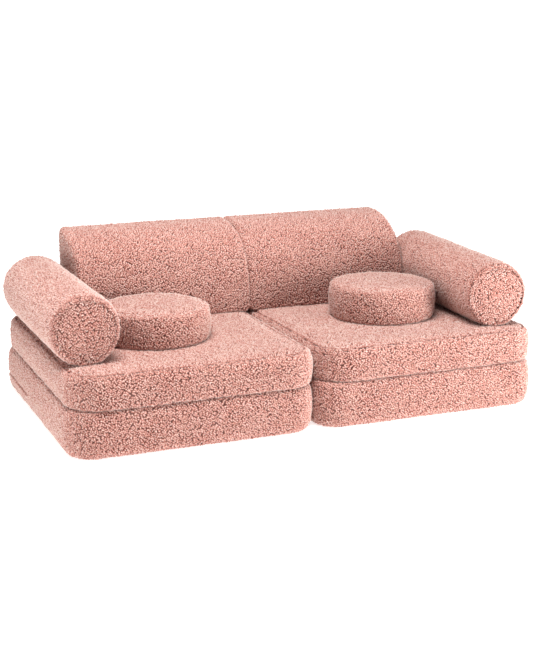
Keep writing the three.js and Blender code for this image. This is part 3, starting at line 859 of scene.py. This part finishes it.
# %% [markdown]
# ## Resting and zip grooves
# A bolster is heavy enough to flatten where it lies: its lowest part goes down by 2 mm, and what would
# pass through the seat is spread flat on it. A zip lies in a groove between two lips of pile.

# %% Flat feet and grooves
SEAT_TOP = 244.45 * MM
SINK = 2 * MM
SIDE_REACH = 102.3 * MM  # of a bolster, towards its neighbours
FLAT_START, FLAT_REACH = 60 * MM, 35 * MM  # below a bolster's middle, where it starts to sink
GROOVE_FLOOR = 4.2 * MM  # under the line that the zip is sewn to


def flatten_bolster(skin):
    place = np.array(skin.form["place"])
    local = skin.points()
    local[:, 1] = np.clip(local[:, 1], -SIDE_REACH, SIDE_REACH)
    low = -local[:, 0] - FLAT_START
    local[:, 0] -= SINK * smooth(low / FLAT_REACH)
    local[:, 0] = np.maximum(local[:, 0], SEAT_TOP - place[2, 3])
    skin.take(local)


def cut_groove(skin):
    """Moves the points at the zip to the groove's floor, and says for each point how much it moved."""
    kind, place, share = skin.form["groove"]
    outline, band = skin.outline, skin.band
    depth_at = lambda off: np.interp(np.abs(off), [0, *GROOVE], GROOVE_DEPTHS)
    if kind == "across wall":
        weight = depth_at(skin.rows - place)[:, None] * share(outline.line)[None]
    else:
        over = depth_at(np.where(outline.around < 1, outline.walk - place, 1))
        weight = fade(share - np.abs(band[:, 0, 2]))[:, None] * over[None]
    floor = outline.ring(WALL_DRAW + GROOVE_FLOOR)
    weight = weight[..., None]
    band[..., :2] = band[..., :2] * (1 - weight) + floor[None] * weight
    moved = np.zeros(len(skin.points()))
    moved[:weight.size] = weight.ravel()
    for end, grid in enumerate(skin.caps):
        if not skin.hidden[end]:
            put_edge(grid, skin.band[-end])
    return moved


SEAM_WIDTH = 3.5 * MM


def seam_lines(skin):
    """For each point how much of a seam it holds."""
    places = [place for seam in skin.form["seams"] for place in (seam, skin.rows[-1] - seam)]
    near = np.min([np.abs(skin.rows - place) for place in places], axis=0)
    weight = np.zeros(len(skin.points()))
    weight[:skin.band.size // 3] = np.repeat(np.exp(-(near / SEAM_WIDTH) ** 2), skin.band.shape[1])
    weight *= skin.form.get("seam_depth", 1)
    return weight


CREASE_WIDTH, CREASE_REACH = 8 * MM, 22 * MM  # gaps at which a crease's pile is fullest, and plain again
free_pile, crease_fill = {}, {}
for name, skin in fine.items():
    if name.endswith("bolster"):
        flatten_bolster(skin)
    moved = cut_groove(skin)
    gaps = gaps_of(name, skin.placed(), CREASE_REACH)
    free_pile[name] = smooth(gaps / PILE_REACH) * (1 - np.sqrt(moved))
    past = (gaps - CREASE_WIDTH) / (CREASE_REACH - CREASE_WIDTH)
    crease_fill[name] = smooth(gaps / CREASE_WIDTH) * (1 - smooth(past))
    print(f"{name}: pile pressed flat on {100 * np.mean(free_pile[name] < 0.1):.0f}% of its points")

# %% [markdown]
# ## Sums on sockets
# A material is a sum, and a sum reads best as one. Wire holds a socket of a node tree, so that
# 1 - mask * 2 writes its Math nodes itself. Plan adds any other node in one way: its type, then its
# settings, then what goes into its sockets.

# %% Wire and Plan
WIDE = ("VECTOR", "RGBA", "ROTATION")


class Wire:
    """An output socket, with Python's signs for sums."""

    def __init__(self, plan, socket):
        self.plan, self.socket = plan, socket

    def sum(self, operation, *terms):
        wide = any(isinstance(t, Wire) and t.socket.type in WIDE or isinstance(t, tuple) for t in terms)
        kind = "ShaderNodeVectorMath" if wide else "ShaderNodeMath"
        return self.plan.node(kind, {"operation": operation}, dict(enumerate(terms)))

    def __add__(self, other):
        return self.sum("ADD", self, other)

    def __sub__(self, other):
        return self.sum("SUBTRACT", self, other)

    def __mul__(self, other):
        return self.sum("MULTIPLY", self, other)

    def __radd__(self, other):
        return self.sum("ADD", other, self)

    def __rsub__(self, other):
        return self.sum("SUBTRACT", other, self)

    def __rmul__(self, other):
        return self.sum("MULTIPLY", other, self)

    def clamp(self):
        return self.sum("MAXIMUM", self.sum("MINIMUM", self, 1.0), 0.0)

    def rise(self, low, high):
        """0 at low, 1 at high, and smooth between them."""
        return self.plan.node("ShaderNodeMapRange", {"interpolation_type": "SMOOTHSTEP"},
                              {"Value": self, "From Min": low, "From Max": high})


class Plan:
    """A node tree that is being drawn."""

    def __init__(self, tree):
        self.tree = tree

    def node(self, kind, settings=None, sockets=None, out=0):
        made = self.tree.nodes.new(kind)
        for name, value in (settings or {}).items():
            if name == "stops":
                self.set_stops(made.color_ramp, value)
            else:
                setattr(made, name, value)
        for name, value in (sockets or {}).items():
            if isinstance(value, Wire):
                self.tree.links.new(value.socket, made.inputs[name])
            elif made.inputs[name].type == "VECTOR" and isinstance(value, (int, float)):
                made.inputs[name].default_value = (value,) * 3
            else:
                made.inputs[name].default_value = value
        return Wire(self, made.outputs[out])

    @staticmethod
    def set_stops(ramp, stops):
        while len(ramp.elements) < len(stops):
            ramp.elements.new(1.0)
        for element, (place, colour) in zip(ramp.elements, stops):
            element.position, element.color = place, (*colour, 1)

    def noise(self, at, size, detail=1.0, out="Fac"):
        """Noise whose lumps are about size metres across."""
        return self.node("ShaderNodeTexNoise", {}, {"Vector": at, "Scale": 1 / size, "Detail": detail}, out)

    def mix(self, share, first, second):
        """A colour between two colours."""
        first, second = ((*c, 1) if isinstance(c, tuple) else c for c in (first, second))
        return self.node("ShaderNodeMix", {"data_type": "RGBA"}, {0: share, 6: first, 7: second}, 2)

    def kept(self, name, out="Vector"):
        """In a material: what the points keep under a name, as a place or (with "Fac") as a number."""
        return self.node("ShaderNodeAttribute", {"attribute_name": name}, {}, out)

    def named(self, name, data_type="FLOAT"):
        """The same in a geometry tree."""
        return self.node("GeometryNodeInputNamedAttribute", {"data_type": data_type}, {"Name": name})


trial_tree = bpy.data.node_groups.new("trial", "GeometryNodeTree")
trial_sum = 1 - Plan(trial_tree).named("mask") * 2
print("1 - mask * 2 made", len(trial_tree.nodes), "nodes, the last a", trial_sum.socket.node.operation)
bpy.data.node_groups.remove(trial_tree)

# %% [markdown]
# ## The pile
# The fabric is a short curly pile: tight curls 5.5 mm apart with dark gaps between them. Hair would be
# too heavy to carry, and a picture isn't allowed. So one sum gives the height of the pile, and it is
# used twice. Once it lifts the points of the cover, for real curls that roughen the outline, and once
# it colours the curls light and the gaps dark, with a bump for what is finer than the points. The dark
# of the gaps is painted shade on top of the real shade of the lifted curls, and the pale tips are
# partly a painted highlight over the fibres' own dusty pink.
# Both read the same two places, kept in the mesh: "weave" is the place on the flat cloth, and carries
# the curls. "rest" is the place on the cushion itself, and carries what runs on across a seam: slow
# waves, strands and wear.

# %% The height of the pile
CURL = 5.5 * MM  # from curl to curl
CURL_SCATTER = 0.85  # 0 is an even grid
CURL_FALL = 1.35  # of its height, from a curl's middle to the next curl's
GAP_SHARE, GAP_WIDTH = 0.25, 0.5  # how much the gaps between curls count, and how soft they are
LEAST_CURL, CURL_RANGE = 0.86, 0.26  # no two curls are equally high
DRIFT, DRIFT_SIZE = 7 * MM, 24 * MM  # the rows of curls wander this far, in lumps of this size
WEAVE_TURN = 0.6  # radians from a panel's edge to the rows
STRAND = 2.4 * MM
PILE_DEPTH = 8.5 * MM
PILE_MIDDLE = 0.5
CREASE_FILL = 1 * MM
WAVES = ((180, 4), (45, 2.5), (11, 5))  # the size and the height of slower waves, in millimetres
SEAM_BREAK, SEAM_DEPTH = 14 * MM, 0.9  # curls hide a seam here and there


def pile_height(plan, rest, weave):
    """From 0 in the deepest gaps to 1 on the highest curls, at a place on the cushion and on the cloth."""
    drift = plan.noise(rest, DRIFT_SIZE, 1.0, "Color")
    turned = plan.node("ShaderNodeVectorRotate", {"rotation_type": "Z_AXIS"}, {
        "Vector": weave, "Angle": WEAVE_TURN})
    bent = turned + (drift - 0.5) * DRIFT
    cells = {"Vector": bent, "Scale": 1 / CURL, "Randomness": CURL_SCATTER}
    flat = {"voronoi_dimensions": "2D"}
    nearest = plan.node("ShaderNodeTexVoronoi", {"feature": "F1", **flat}, cells, "Distance")
    colour = plan.node("ShaderNodeTexVoronoi", {"feature": "F1", **flat}, cells, "Color")
    own = plan.node("ShaderNodeSeparateXYZ", {}, {"Vector": colour}, "X")
    second = plan.node("ShaderNodeTexVoronoi", {"feature": "F2", **flat}, cells, "Distance")
    apart = (second - nearest).rise(0.0, GAP_WIDTH)
    curl = (1 - nearest * CURL_FALL) * (1 - GAP_SHARE) + apart * GAP_SHARE
    return (curl * (LEAST_CURL + own * CURL_RANGE)).clamp()


def pile_tree():
    tree = bpy.data.node_groups.new("raise_pile", "GeometryNodeTree")
    tree.interface.new_socket("Cover", in_out="INPUT", socket_type="NodeSocketGeometry")
    tree.interface.new_socket("Cover", in_out="OUTPUT", socket_type="NodeSocketGeometry")
    plan = Plan(tree)
    cover = plan.node("NodeGroupInput")
    rest, weave = plan.named("rest", "FLOAT_VECTOR"), plan.named("weave", "FLOAT_VECTOR")
    free, crease, seam = plan.named("free"), plan.named("crease"), plan.named("seam")
    normal = plan.node("GeometryNodeInputNormal")
    waves = sum((plan.noise(rest, length * MM) - 0.5) * (most * MM) for length, most in WAVES)
    broken = plan.noise(rest, SEAM_BREAK).rise(0.35, 0.65)
    # A seam lowers the pile: a real groove in the points, and through the colour ramp a dark line of
    # painted shade along it.
    height = pile_height(plan, rest, weave) * (1 - seam * broken * SEAM_DEPTH)
    kept = plan.node("GeometryNodeStoreNamedAttribute", {"data_type": "FLOAT", "domain": "POINT"}, {
        "Geometry": cover, "Name": "pile", "Value": height})
    lift = ((height - PILE_MIDDLE) * PILE_DEPTH + waves) * free + crease * CREASE_FILL
    raised = plan.node("GeometryNodeSetPosition", {}, {"Geometry": kept, "Offset": normal * lift})
    output = tree.nodes.new("NodeGroupOutput")
    tree.links.new(raised.socket, output.inputs[0])
    return tree


raise_pile = pile_tree()
print("the pile is lifted by", len(raise_pile.nodes), "nodes")

# %% The curly pile material
def principled(name, constants):
    """A material with constants on its shader's sockets, and the plan of its tree."""
    material = bpy.data.materials.new(name)
    material.use_nodes = True
    tree = material.node_tree
    shader = next(node for node in tree.nodes if node.type == "BSDF_PRINCIPLED")
    for socket, value in constants.items():
        shader.inputs[socket].default_value = value
    return material, Plan(tree), shader


def plug(plan, shader, **wires):
    """Puts wires on the shader's sockets, for what changes over the surface."""
    for name, wire in wires.items():
        plan.tree.links.new(wire.socket, shader.inputs[name.replace("_", " ")])


# Painted shade and highlight: GAP is painted shade deep in the pile, TIP partly a painted highlight on the
# curls' tops, MIDDLE the fibres' own dusty pink.
GAP, MIDDLE, TIP = (0.05, 0.003, 0.002), (0.46, 0.16, 0.12), (0.79, 0.70, 0.64)
WORN = (0.74, 0.46, 0.39)  # patches that hands have stroked
PRESSED_RANGE, PRESSED_LEAST = 0.6, 0.28  # a pressed curl is neither as dark nor as light as a free one


def curly_pile():
    material, plan, shader = principled("curly_pile", {
        "Sheen Weight": 0.5, "Sheen Roughness": 0.5, "Sheen Tint": (0.78, 0.74, 0.71, 1),
        "Specular IOR Level": 0.1})
    rest, weave = plan.kept("rest"), plan.kept("weave")
    curls, free = plan.kept("pile", "Fac"), plan.kept("free", "Fac")
    strands = plan.noise(rest, STRAND, 2.0)
    flat_curls = pile_height(plan, rest, weave)
    pressed = flat_curls * PRESSED_RANGE + PRESSED_LEAST
    height = pressed + (curls - pressed) * free + (strands - 0.5) * 0.25
    patches = plan.noise(rest, 90 * MM, 2.0)
    # The ramp paints the gaps dark as painted shade and the tips pale, partly as a painted highlight;
    # pressed pile gets less of both.
    colour = plan.node("ShaderNodeValToRGB", {
        "stops": [(0.2, GAP), (0.52, MIDDLE), (0.95, TIP)]}, {"Fac": height})
    worn = plan.mix((patches - 0.5) * 0.3 + 0.1, colour, WORN)
    bump = plan.node("ShaderNodeBump", {}, {
        "Strength": 0.7, "Distance": 1.2 * MM, "Height": strands + flat_curls * (1 - free) * 1.5}, "Normal")
    plug(plan, shader, Base_Color=worn, Roughness=1.0 - strands * 0.2, Normal=bump)
    return material


pile_material = curly_pile()
print("and coloured by", len(pile_material.node_tree.nodes))

# %% Squashed pile between the modules
BETWEEN = 0.1 * MM  # from the plane between the modules to the pile on either side


def squash_between(mesh, name):
    """The two modules press their pile flat in the plane where they meet, so neither reaches past it."""
    side, kind = name.split("_", 1)
    if kind not in ("base", "seat", "backrest"):
        return
    plane = (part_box(f"left_{kind}_cover")[1][0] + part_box(f"right_{kind}_cover")[0][0]) / 2
    points = np.empty((len(mesh.vertices), 3), np.float32)
    mesh.vertices.foreach_get("co", points.ravel())
    keep = np.minimum if side == "left" else np.maximum
    points[:, 0] = keep(points[:, 0], plane + (-BETWEEN if side == "left" else BETWEEN))
    mesh.vertices.foreach_set("co", points.ravel())
    mesh.update()


print("the modules' covers keep", 2 * BETWEEN / MM, "mm apart")

# %% [markdown]
# ## The ten covers
# Every piece rides on its cushion's body, in place of one of the cushion's imported solids, which is
# hidden.

# %% The ten covers
def join_scene(name, mesh):
    piece = bpy.data.objects.new(name, mesh)
    bpy.context.scene.collection.objects.link(piece)
    return piece


def dress(piece, cushion, part):
    """The piece rides on its cushion, in place of one of the cushion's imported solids."""
    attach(piece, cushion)
    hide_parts(f"{cushion}_{part}")


covers = {}
for name, skin in fine.items():
    mesh = mesh_of(name + "_cover_fabric", skin, skin.placed())
    for word, values in dict(free=free_pile[name], crease=crease_fill[name], seam=seam_lines(skin)).items():
        mesh.attributes.new(word, "FLOAT", "POINT").data.foreach_set("value", values.astype(np.float32))
    cover = join_scene(name + "_cover_fabric", mesh)
    modifier = cover.modifiers.new("pile", "NODES")
    modifier.node_group = raise_pile
    lifted = cover.evaluated_get(bpy.context.evaluated_depsgraph_get())
    raised = bpy.data.meshes.new_from_object(lifted)
    cover.modifiers.clear()
    squash_between(raised, name)
    cover.data = raised
    raised.name = name + "_cover_fabric"
    raised.materials.append(pile_material)
    dress(cover, name, "cover")
    covers[name] = cover
print("covers:", sum(len(c.data.polygons) for c in covers.values()), "faces")

# %% [markdown]
# ## Foam
# Under each cover is one block of open-cell foam, cut to the same form a little smaller. It is seen
# when a cover is off, so it gets the fine holes and the warm white of foam. The holes are painted
# darker than the walls between them, as painted shade in the cells.

# %% The foam cores
FOAM_INSIDE = 7.5 * MM
FOAM_SPACING = 14 * MM
FOAM_CELL = 1.8 * MM
FOAM_WALL, FOAM_HOLE_SHADE, FOAM_AGED = (0.93, 0.88, 0.75), (0.66, 0.58, 0.42), (0.90, 0.78, 0.52)


def open_cell_foam():
    material, plan, shader = principled("open_cell_foam", {"Specular IOR Level": 0.2})
    rest = plan.kept("rest")
    holes = plan.node("ShaderNodeTexVoronoi", {"feature": "DISTANCE_TO_EDGE"}, {
        "Vector": rest, "Scale": 1 / FOAM_CELL}, "Distance")
    walls = holes.rise(0.02, 0.22)
    cloud = plan.noise(rest, 60 * MM, 2.0)
    # Painted shade: the holes between the foam's walls are coloured darker.
    colour = plan.mix(walls, FOAM_WALL, FOAM_HOLE_SHADE)
    aged = plan.mix(cloud * 0.25, colour, FOAM_AGED)
    bump = plan.node("ShaderNodeBump", {}, {
        "Strength": 0.7, "Distance": 0.6 * MM, "Height": 1 - walls}, "Normal")
    plug(plan, shader, Base_Color=aged, Roughness=0.85 + cloud * 0.1, Normal=bump)
    return material


foam_material = open_cell_foam()
foam_points = 0
for name, (form_of, place) in CUSHIONS.items():
    form = form_of(FOAM_INSIDE)
    form["place"], form["cut_from"] = place, fine[name].form["cut_from"]
    core = Skin(form, FOAM_SPACING, fine=False)
    foam = join_scene(name + "_foam_core", mesh_of(name + "_foam_core", core, core.placed()))
    foam.data.materials.append(foam_material)
    dress(foam, name, "foam")
    foam_points += len(foam.data.vertices)
print("foam cores:", foam_points, "points")

# %% [markdown]
# ## Zips
# Each cover closes with a coil zip: round the back of a base, at the back of a seat, a backrest and a
# round cushion, and low on the right of a bolster. It is a woven tape and two rows of teeth that mesh.
# The tape is one strip swept along the slit. Its teeth are rows of the same sweep that are high on the
# left and on the right by turns.

# %% Zip paths
TAPE = dict(half=5.7 * MM, low=-5.0 * MM, top=-3.8 * MM)
TOOTH = dict(half=2.4 * MM, top=-2.5 * MM, root=-3.35 * MM, pitch=1.0 * MM, slope=0.3 * MM)
BEND_STEPS, ROUND_STEPS = 40, 60  # of the path round a base's corner and round a disc


def flat_path(points, level, out):
    """A path at one height, with its outward directions."""
    points = np.asarray(points, float)
    out = np.asarray(out, float)
    up = np.tile((0.0, 0.0, 1.0), (len(points), 1))
    return (np.column_stack([points, np.full(len(points), level)]),
            np.column_stack([out, np.zeros(len(out))]), up)


def base_zip():
    x, y = BASE["width"] / 2 - BASE["corner"], BASE["depth"] / 2 - BASE["corner"]
    radius = BASE["corner"] - WALL_DRAW
    right, left = arc((x, y), radius, 0, 1, BEND_STEPS), arc((-x, y), radius, 1, 2, BEND_STEPS)
    ends = [(x + radius, BASE_ZIP["front"]), (-x - radius, BASE_ZIP["front"])]
    points = np.concatenate([ends[:1], right, left, ends[1:]])
    out = np.concatenate([[(1, 0)], (right - (x, y)) / radius, (left - (-x, y)) / radius, [(-1, 0)]])
    return flat_path(points, BASE_ZIP["height"], out)


def seat_zip():
    y = SEAT["depth"] / 2 - WALL_DRAW
    return flat_path([(SEAT_ZIP["half"], y), (-SEAT_ZIP["half"], y)], SEAT_ZIP["height"], [(0, 1)] * 2)


def disc_zip():
    half = DISC_ZIP_HALF / (math.pi / 2)
    radius = DISC["diameter"] / 2 - WALL_DRAW
    points = arc((0, 0), radius, 1 - half, 1 + half, ROUND_STEPS)
    return flat_path(points, DISC["height"] / 2, points / radius)


def long_path(point, out, half):
    """A path along a section's third axis."""
    out = np.array([*out, 0.0])
    points = np.array([[*point, half], [*point, -half]])
    return points, np.stack([out, out]), np.tile(np.cross(out, (0, 0, -1.0)), (2, 1))


def bolster_zip():
    turn = ROLL_ZIP["turn"] * math.pi / 2
    out = np.array([math.cos(turn), math.sin(turn)])
    return long_path(out * (ROLL["radius"] - WALL_DRAW), out, ROLL_ZIP["half"])


def backrest_zip():
    return long_path((REST_BACK["depth"] / 2 - WALL_DRAW, REST_ZIP["height"]), (1, 0), REST_ZIP["half"])


ZIP_PATHS = {base_form: base_zip, seat_form: seat_zip, disc_form: disc_zip,
             left_disc_form: disc_zip, bolster_form: bolster_zip, backrest_form: backrest_zip}
for form_of, path_of in ZIP_PATHS.items():
    print(form_of.__name__, "has a zip of", round(run_along(path_of()[0])[-1] / MM), "mm")

# %% Tape and teeth
def zip_mesh(name, path, place):
    points, out, across = path
    run = run_along(points)
    count = round(run[-1] / TOOTH["pitch"])
    slope = TOOTH["slope"]
    at_run = np.linspace(slope, run[-1] - slope, count + 1)
    points, out, across = (read_at(a, run, at_run) for a in (points, out, across))
    out /= np.linalg.norm(out, axis=1, keepdims=True)
    left = np.where(np.arange(count + 1) % 2 == 0, TOOTH["top"], TOOTH["root"])
    right = TOOTH["top"] + TOOTH["root"] - left
    half, tooth, low, top = TAPE["half"], TOOTH["half"], TAPE["low"], TAPE["top"]
    offs = [-half, half, half, tooth + slope, tooth, slope, -slope, -tooth, -tooth - slope, -half]
    highs = [low, low, top, top, right, right, left, left, top, top]
    section = np.stack([np.stack([np.full(count + 1, s), np.zeros(count + 1) + h], -1)
                        for s, h in zip(offs, highs)], 1)
    rings = points[:, None] + across[:, None] * section[..., :1] + out[:, None] * section[..., 1:]
    columns = len(offs)
    index = np.arange((count + 1) * columns).reshape(count + 1, columns)
    closed = np.concatenate([index, index[:, :1]], 1)
    faces = grid_faces(closed).tolist() + [index[0].tolist(), index[-1][::-1].tolist()]
    flat = rings.reshape(-1, 3)
    spin = np.cross(flat[closed[0, 1]] - flat[closed[0, 0]], flat[closed[1, 0]] - flat[closed[0, 0]])
    if np.dot(spin, out[0]) > 0:
        faces = [face[::-1] for face in faces]
    turn = np.array(place)
    mesh = bpy.data.meshes.new(name)
    mesh.from_pydata((flat @ turn[:3, :3].T + turn[:3, 3]).tolist(), [], faces)
    cloth = np.stack([np.repeat(at_run, columns), section[..., 0].ravel(), section[..., 1].ravel()], 1)
    rest = mesh.attributes.new("rest", "FLOAT_VECTOR", "POINT")
    rest.data.foreach_set("vector", cloth.astype(np.float32).ravel())
    return mesh


# %% The woven tape
RIB, THREAD = 0.9 * MM, 0.8 * MM
TAPE_DARK, TAPE_LIGHT = (0.42, 0.19, 0.16), (0.60, 0.31, 0.27)
COIL_COLOUR, DUST = (0.66, 0.36, 0.31), (0.74, 0.46, 0.40)


def zip_tape():
    material, plan, shader = principled("zip_tape", {"Specular IOR Level": 0.35})
    rest = plan.kept("rest")
    parts = plan.node("ShaderNodeSeparateXYZ", {}, {0: rest})
    run, side = Wire(plan, parts.socket.node.outputs[0]), Wire(plan, parts.socket.node.outputs[1])
    ribs, threads = run * (2 * math.pi / RIB), side * (2 * math.pi / THREAD)
    weave = (plan.node("ShaderNodeMath", {"operation": "SINE"}, {0: ribs})
             * plan.node("ShaderNodeMath", {"operation": "SINE"}, {0: threads}))
    off = plan.node("ShaderNodeMath", {"operation": "ABSOLUTE"}, {0: side})
    coil = 1 - off.rise(2.3 * MM, 2.7 * MM)
    tape = plan.mix(weave * 0.5 + 0.5, TAPE_DARK, TAPE_LIGHT)
    dust = plan.noise(rest, 8 * MM, 3.0)
    colour = plan.mix(coil, tape, COIL_COLOUR)
    dusty = plan.mix(dust * 0.3, colour, DUST)
    bump = plan.node("ShaderNodeBump", {}, {
        "Strength": 0.6, "Distance": 0.2 * MM, "Height": weave * (1 - coil)}, "Normal")
    plug(plan, shader, Base_Color=dusty, Roughness=0.85 - coil * 0.45, Normal=bump)
    return material


zip_material = zip_tape()
zip_points = 0
for name, (form_of, place) in CUSHIONS.items():
    piece = join_scene(name + "_coil_zip", zip_mesh(name + "_coil_zip", ZIP_PATHS[form_of](), place))
    piece.data.materials.append(zip_material)
    dress(piece, name, "zip")
    zip_points += len(piece.data.vertices)
print("zips:", zip_points, "points")

# %% [markdown]
# ## Sliders
# A slider has no pull that a child could swallow, only a bridge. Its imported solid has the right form
# and stays. Its edges are rounded, and it gets enamel that has worn through a little.

# %% The sliders
ENAMEL_DARK, ENAMEL_LIGHT, BARE_METAL = (0.50, 0.23, 0.19), (0.62, 0.31, 0.27), (0.62, 0.58, 0.55)
SLIDER_EDGE = 0.25 * MM


def slider_enamel():
    material, plan, shader = principled("slider_enamel", {"Coat Roughness": 0.12})
    place = plan.node("ShaderNodeTexCoord", {}, {}, "Object")
    speckle = plan.noise(place, 0.6 * MM, 3.0)
    wear = plan.noise(place, 3 * MM, 4.0).rise(0.58, 0.72)
    paint = plan.mix(speckle, ENAMEL_DARK, ENAMEL_LIGHT)
    bump = plan.node("ShaderNodeBump", {}, {
        "Strength": 0.25, "Distance": 0.1 * MM, "Height": speckle - wear}, "Normal")
    plug(plan, shader, Base_Color=plan.mix(wear, paint, BARE_METAL), Metallic=wear * 0.9,
         Roughness=0.3 + speckle * 0.2, Coat_Weight=0.6 - wear * 0.6, Normal=bump)
    return material


slider_material = slider_enamel()
for name in CUSHIONS:
    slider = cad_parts[name + "_zip_slider"]
    slider.data.materials.clear()
    slider.data.materials.append(slider_material)
    edge = slider.modifiers.new("rounded_edges", "BEVEL")
    edge.width, edge.segments, edge.limit_method = SLIDER_EDGE, 2, "ANGLE"
print("sliders with edges rounded by", SLIDER_EDGE / MM, "mm")

# %% [markdown]
# ## Floor and light
# The photograph has a white ground and soft light: a large lamp above the sofa on the left, a low one
# at the right front, a weak low one on the left, and pale surroundings. How strong each has to be was
# found by rendering each one alone and adding the pictures up until the ten cushions were as bright as
# in the photograph, and then corrected in further renders. The floor glows a little of its own, as
# white paper on a light table does.

# %% Floor
FLOOR, RIM, RIM_HEIGHT = 60.0, 70.0, 8.0  # metres: half widths, and how high the rim hides the horizon
NEAR_GLOW, FAR_GLOW = 0.7, 0.9
GLOW_FROM, GLOW_TO = 1.2, 3.5  # metres from the middle, between which the one turns into the other


def pale_floor():
    material, plan, shader = principled("pale_floor", {
        "Specular IOR Level": 0.0, "Roughness": 1.0, "Emission Strength": 1.0})
    place = plan.node("ShaderNodeTexCoord", {}, {}, "Object")
    away = plan.node("ShaderNodeVectorMath", {"operation": "LENGTH"}, {0: place}, "Value")
    glow = plan.mix(away.rise(GLOW_FROM, GLOW_TO), (NEAR_GLOW,) * 3, (FAR_GLOW,) * 3)
    plug(plan, shader, Emission_Color=glow,
         Base_Color=plan.mix(plan.noise(place, 0.3, 2.0), (0.93, 0.93, 0.93), (0.95, 0.95, 0.95)))
    return material


floor_mesh = bpy.data.meshes.new("floor")
square = ((-1, -1), (1, -1), (1, 1), (-1, 1))
flat_points = [(x * FLOOR, y * FLOOR, 0) for x, y in square]
rim_points = [(x * RIM, y * RIM, RIM_HEIGHT) for x, y in square]
rim_faces = [(k, (k + 1) % 4, (k + 1) % 4 + 4, k + 4) for k in range(4)]
floor_mesh.from_pydata(flat_points + rim_points, [], [(0, 1, 2, 3), *rim_faces])
floor = join_scene("floor", floor_mesh)
floor_mesh.materials.append(pale_floor())
floor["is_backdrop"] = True
print("floor", 2 * FLOOR, "m wide")

# %% Light
def soft_lamp(name, place, size, watts, colour=(1, 1, 1), aim=(0, 0, 0.2)):
    lamp = bpy.data.lights.new(name, "AREA")
    lamp.shape, lamp.size, lamp.energy, lamp.color = "DISK", size, watts, colour
    holder = join_scene(name, lamp)
    holder.location = place
    holder.rotation_euler = (Vector(aim) - Vector(place)).to_track_quat("-Z", "Y").to_euler()
    holder.visible_camera = False
    print(f"{name}: {watts} W from {size} m")


SURROUNDINGS = 0.36
DAYLIGHT = (0.93, 1.0, 1.0)  # a little cooler than white
soft_lamp("above_left", (-0.65, -0.95, 3.1), size=1.8, watts=120)
soft_lamp("right_front", (1.75, -2.2, 0.4), size=1.2, watts=82, colour=DAYLIGHT)
soft_lamp("low_left", (-2.5, -0.7, 0.25), size=1.2, watts=20, colour=DAYLIGHT)
world = bpy.data.worlds.new("studio")
world.use_nodes = True
world.node_tree.nodes["Background"].inputs["Color"].default_value = (1, 1, 1, 1)
world.node_tree.nodes["Background"].inputs["Strength"].default_value = SURROUNDINGS
bpy.context.scene.world = world
bpy.context.scene.view_settings.view_transform = "Standard"
print("surroundings:", SURROUNDINGS)

# %% [markdown]
# ## Sizes and the last line
# Nothing here may outgrow the imported model by more than the fabric's few millimetres, so how far
# what is shown reaches past the imported model's box is printed.

# %% Sizes
shown_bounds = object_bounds()
grown = (np.array(shown_bounds) - np.array(cad_bounds)) / MM
print("grown by", grown.round(1).tolist(), "mm")
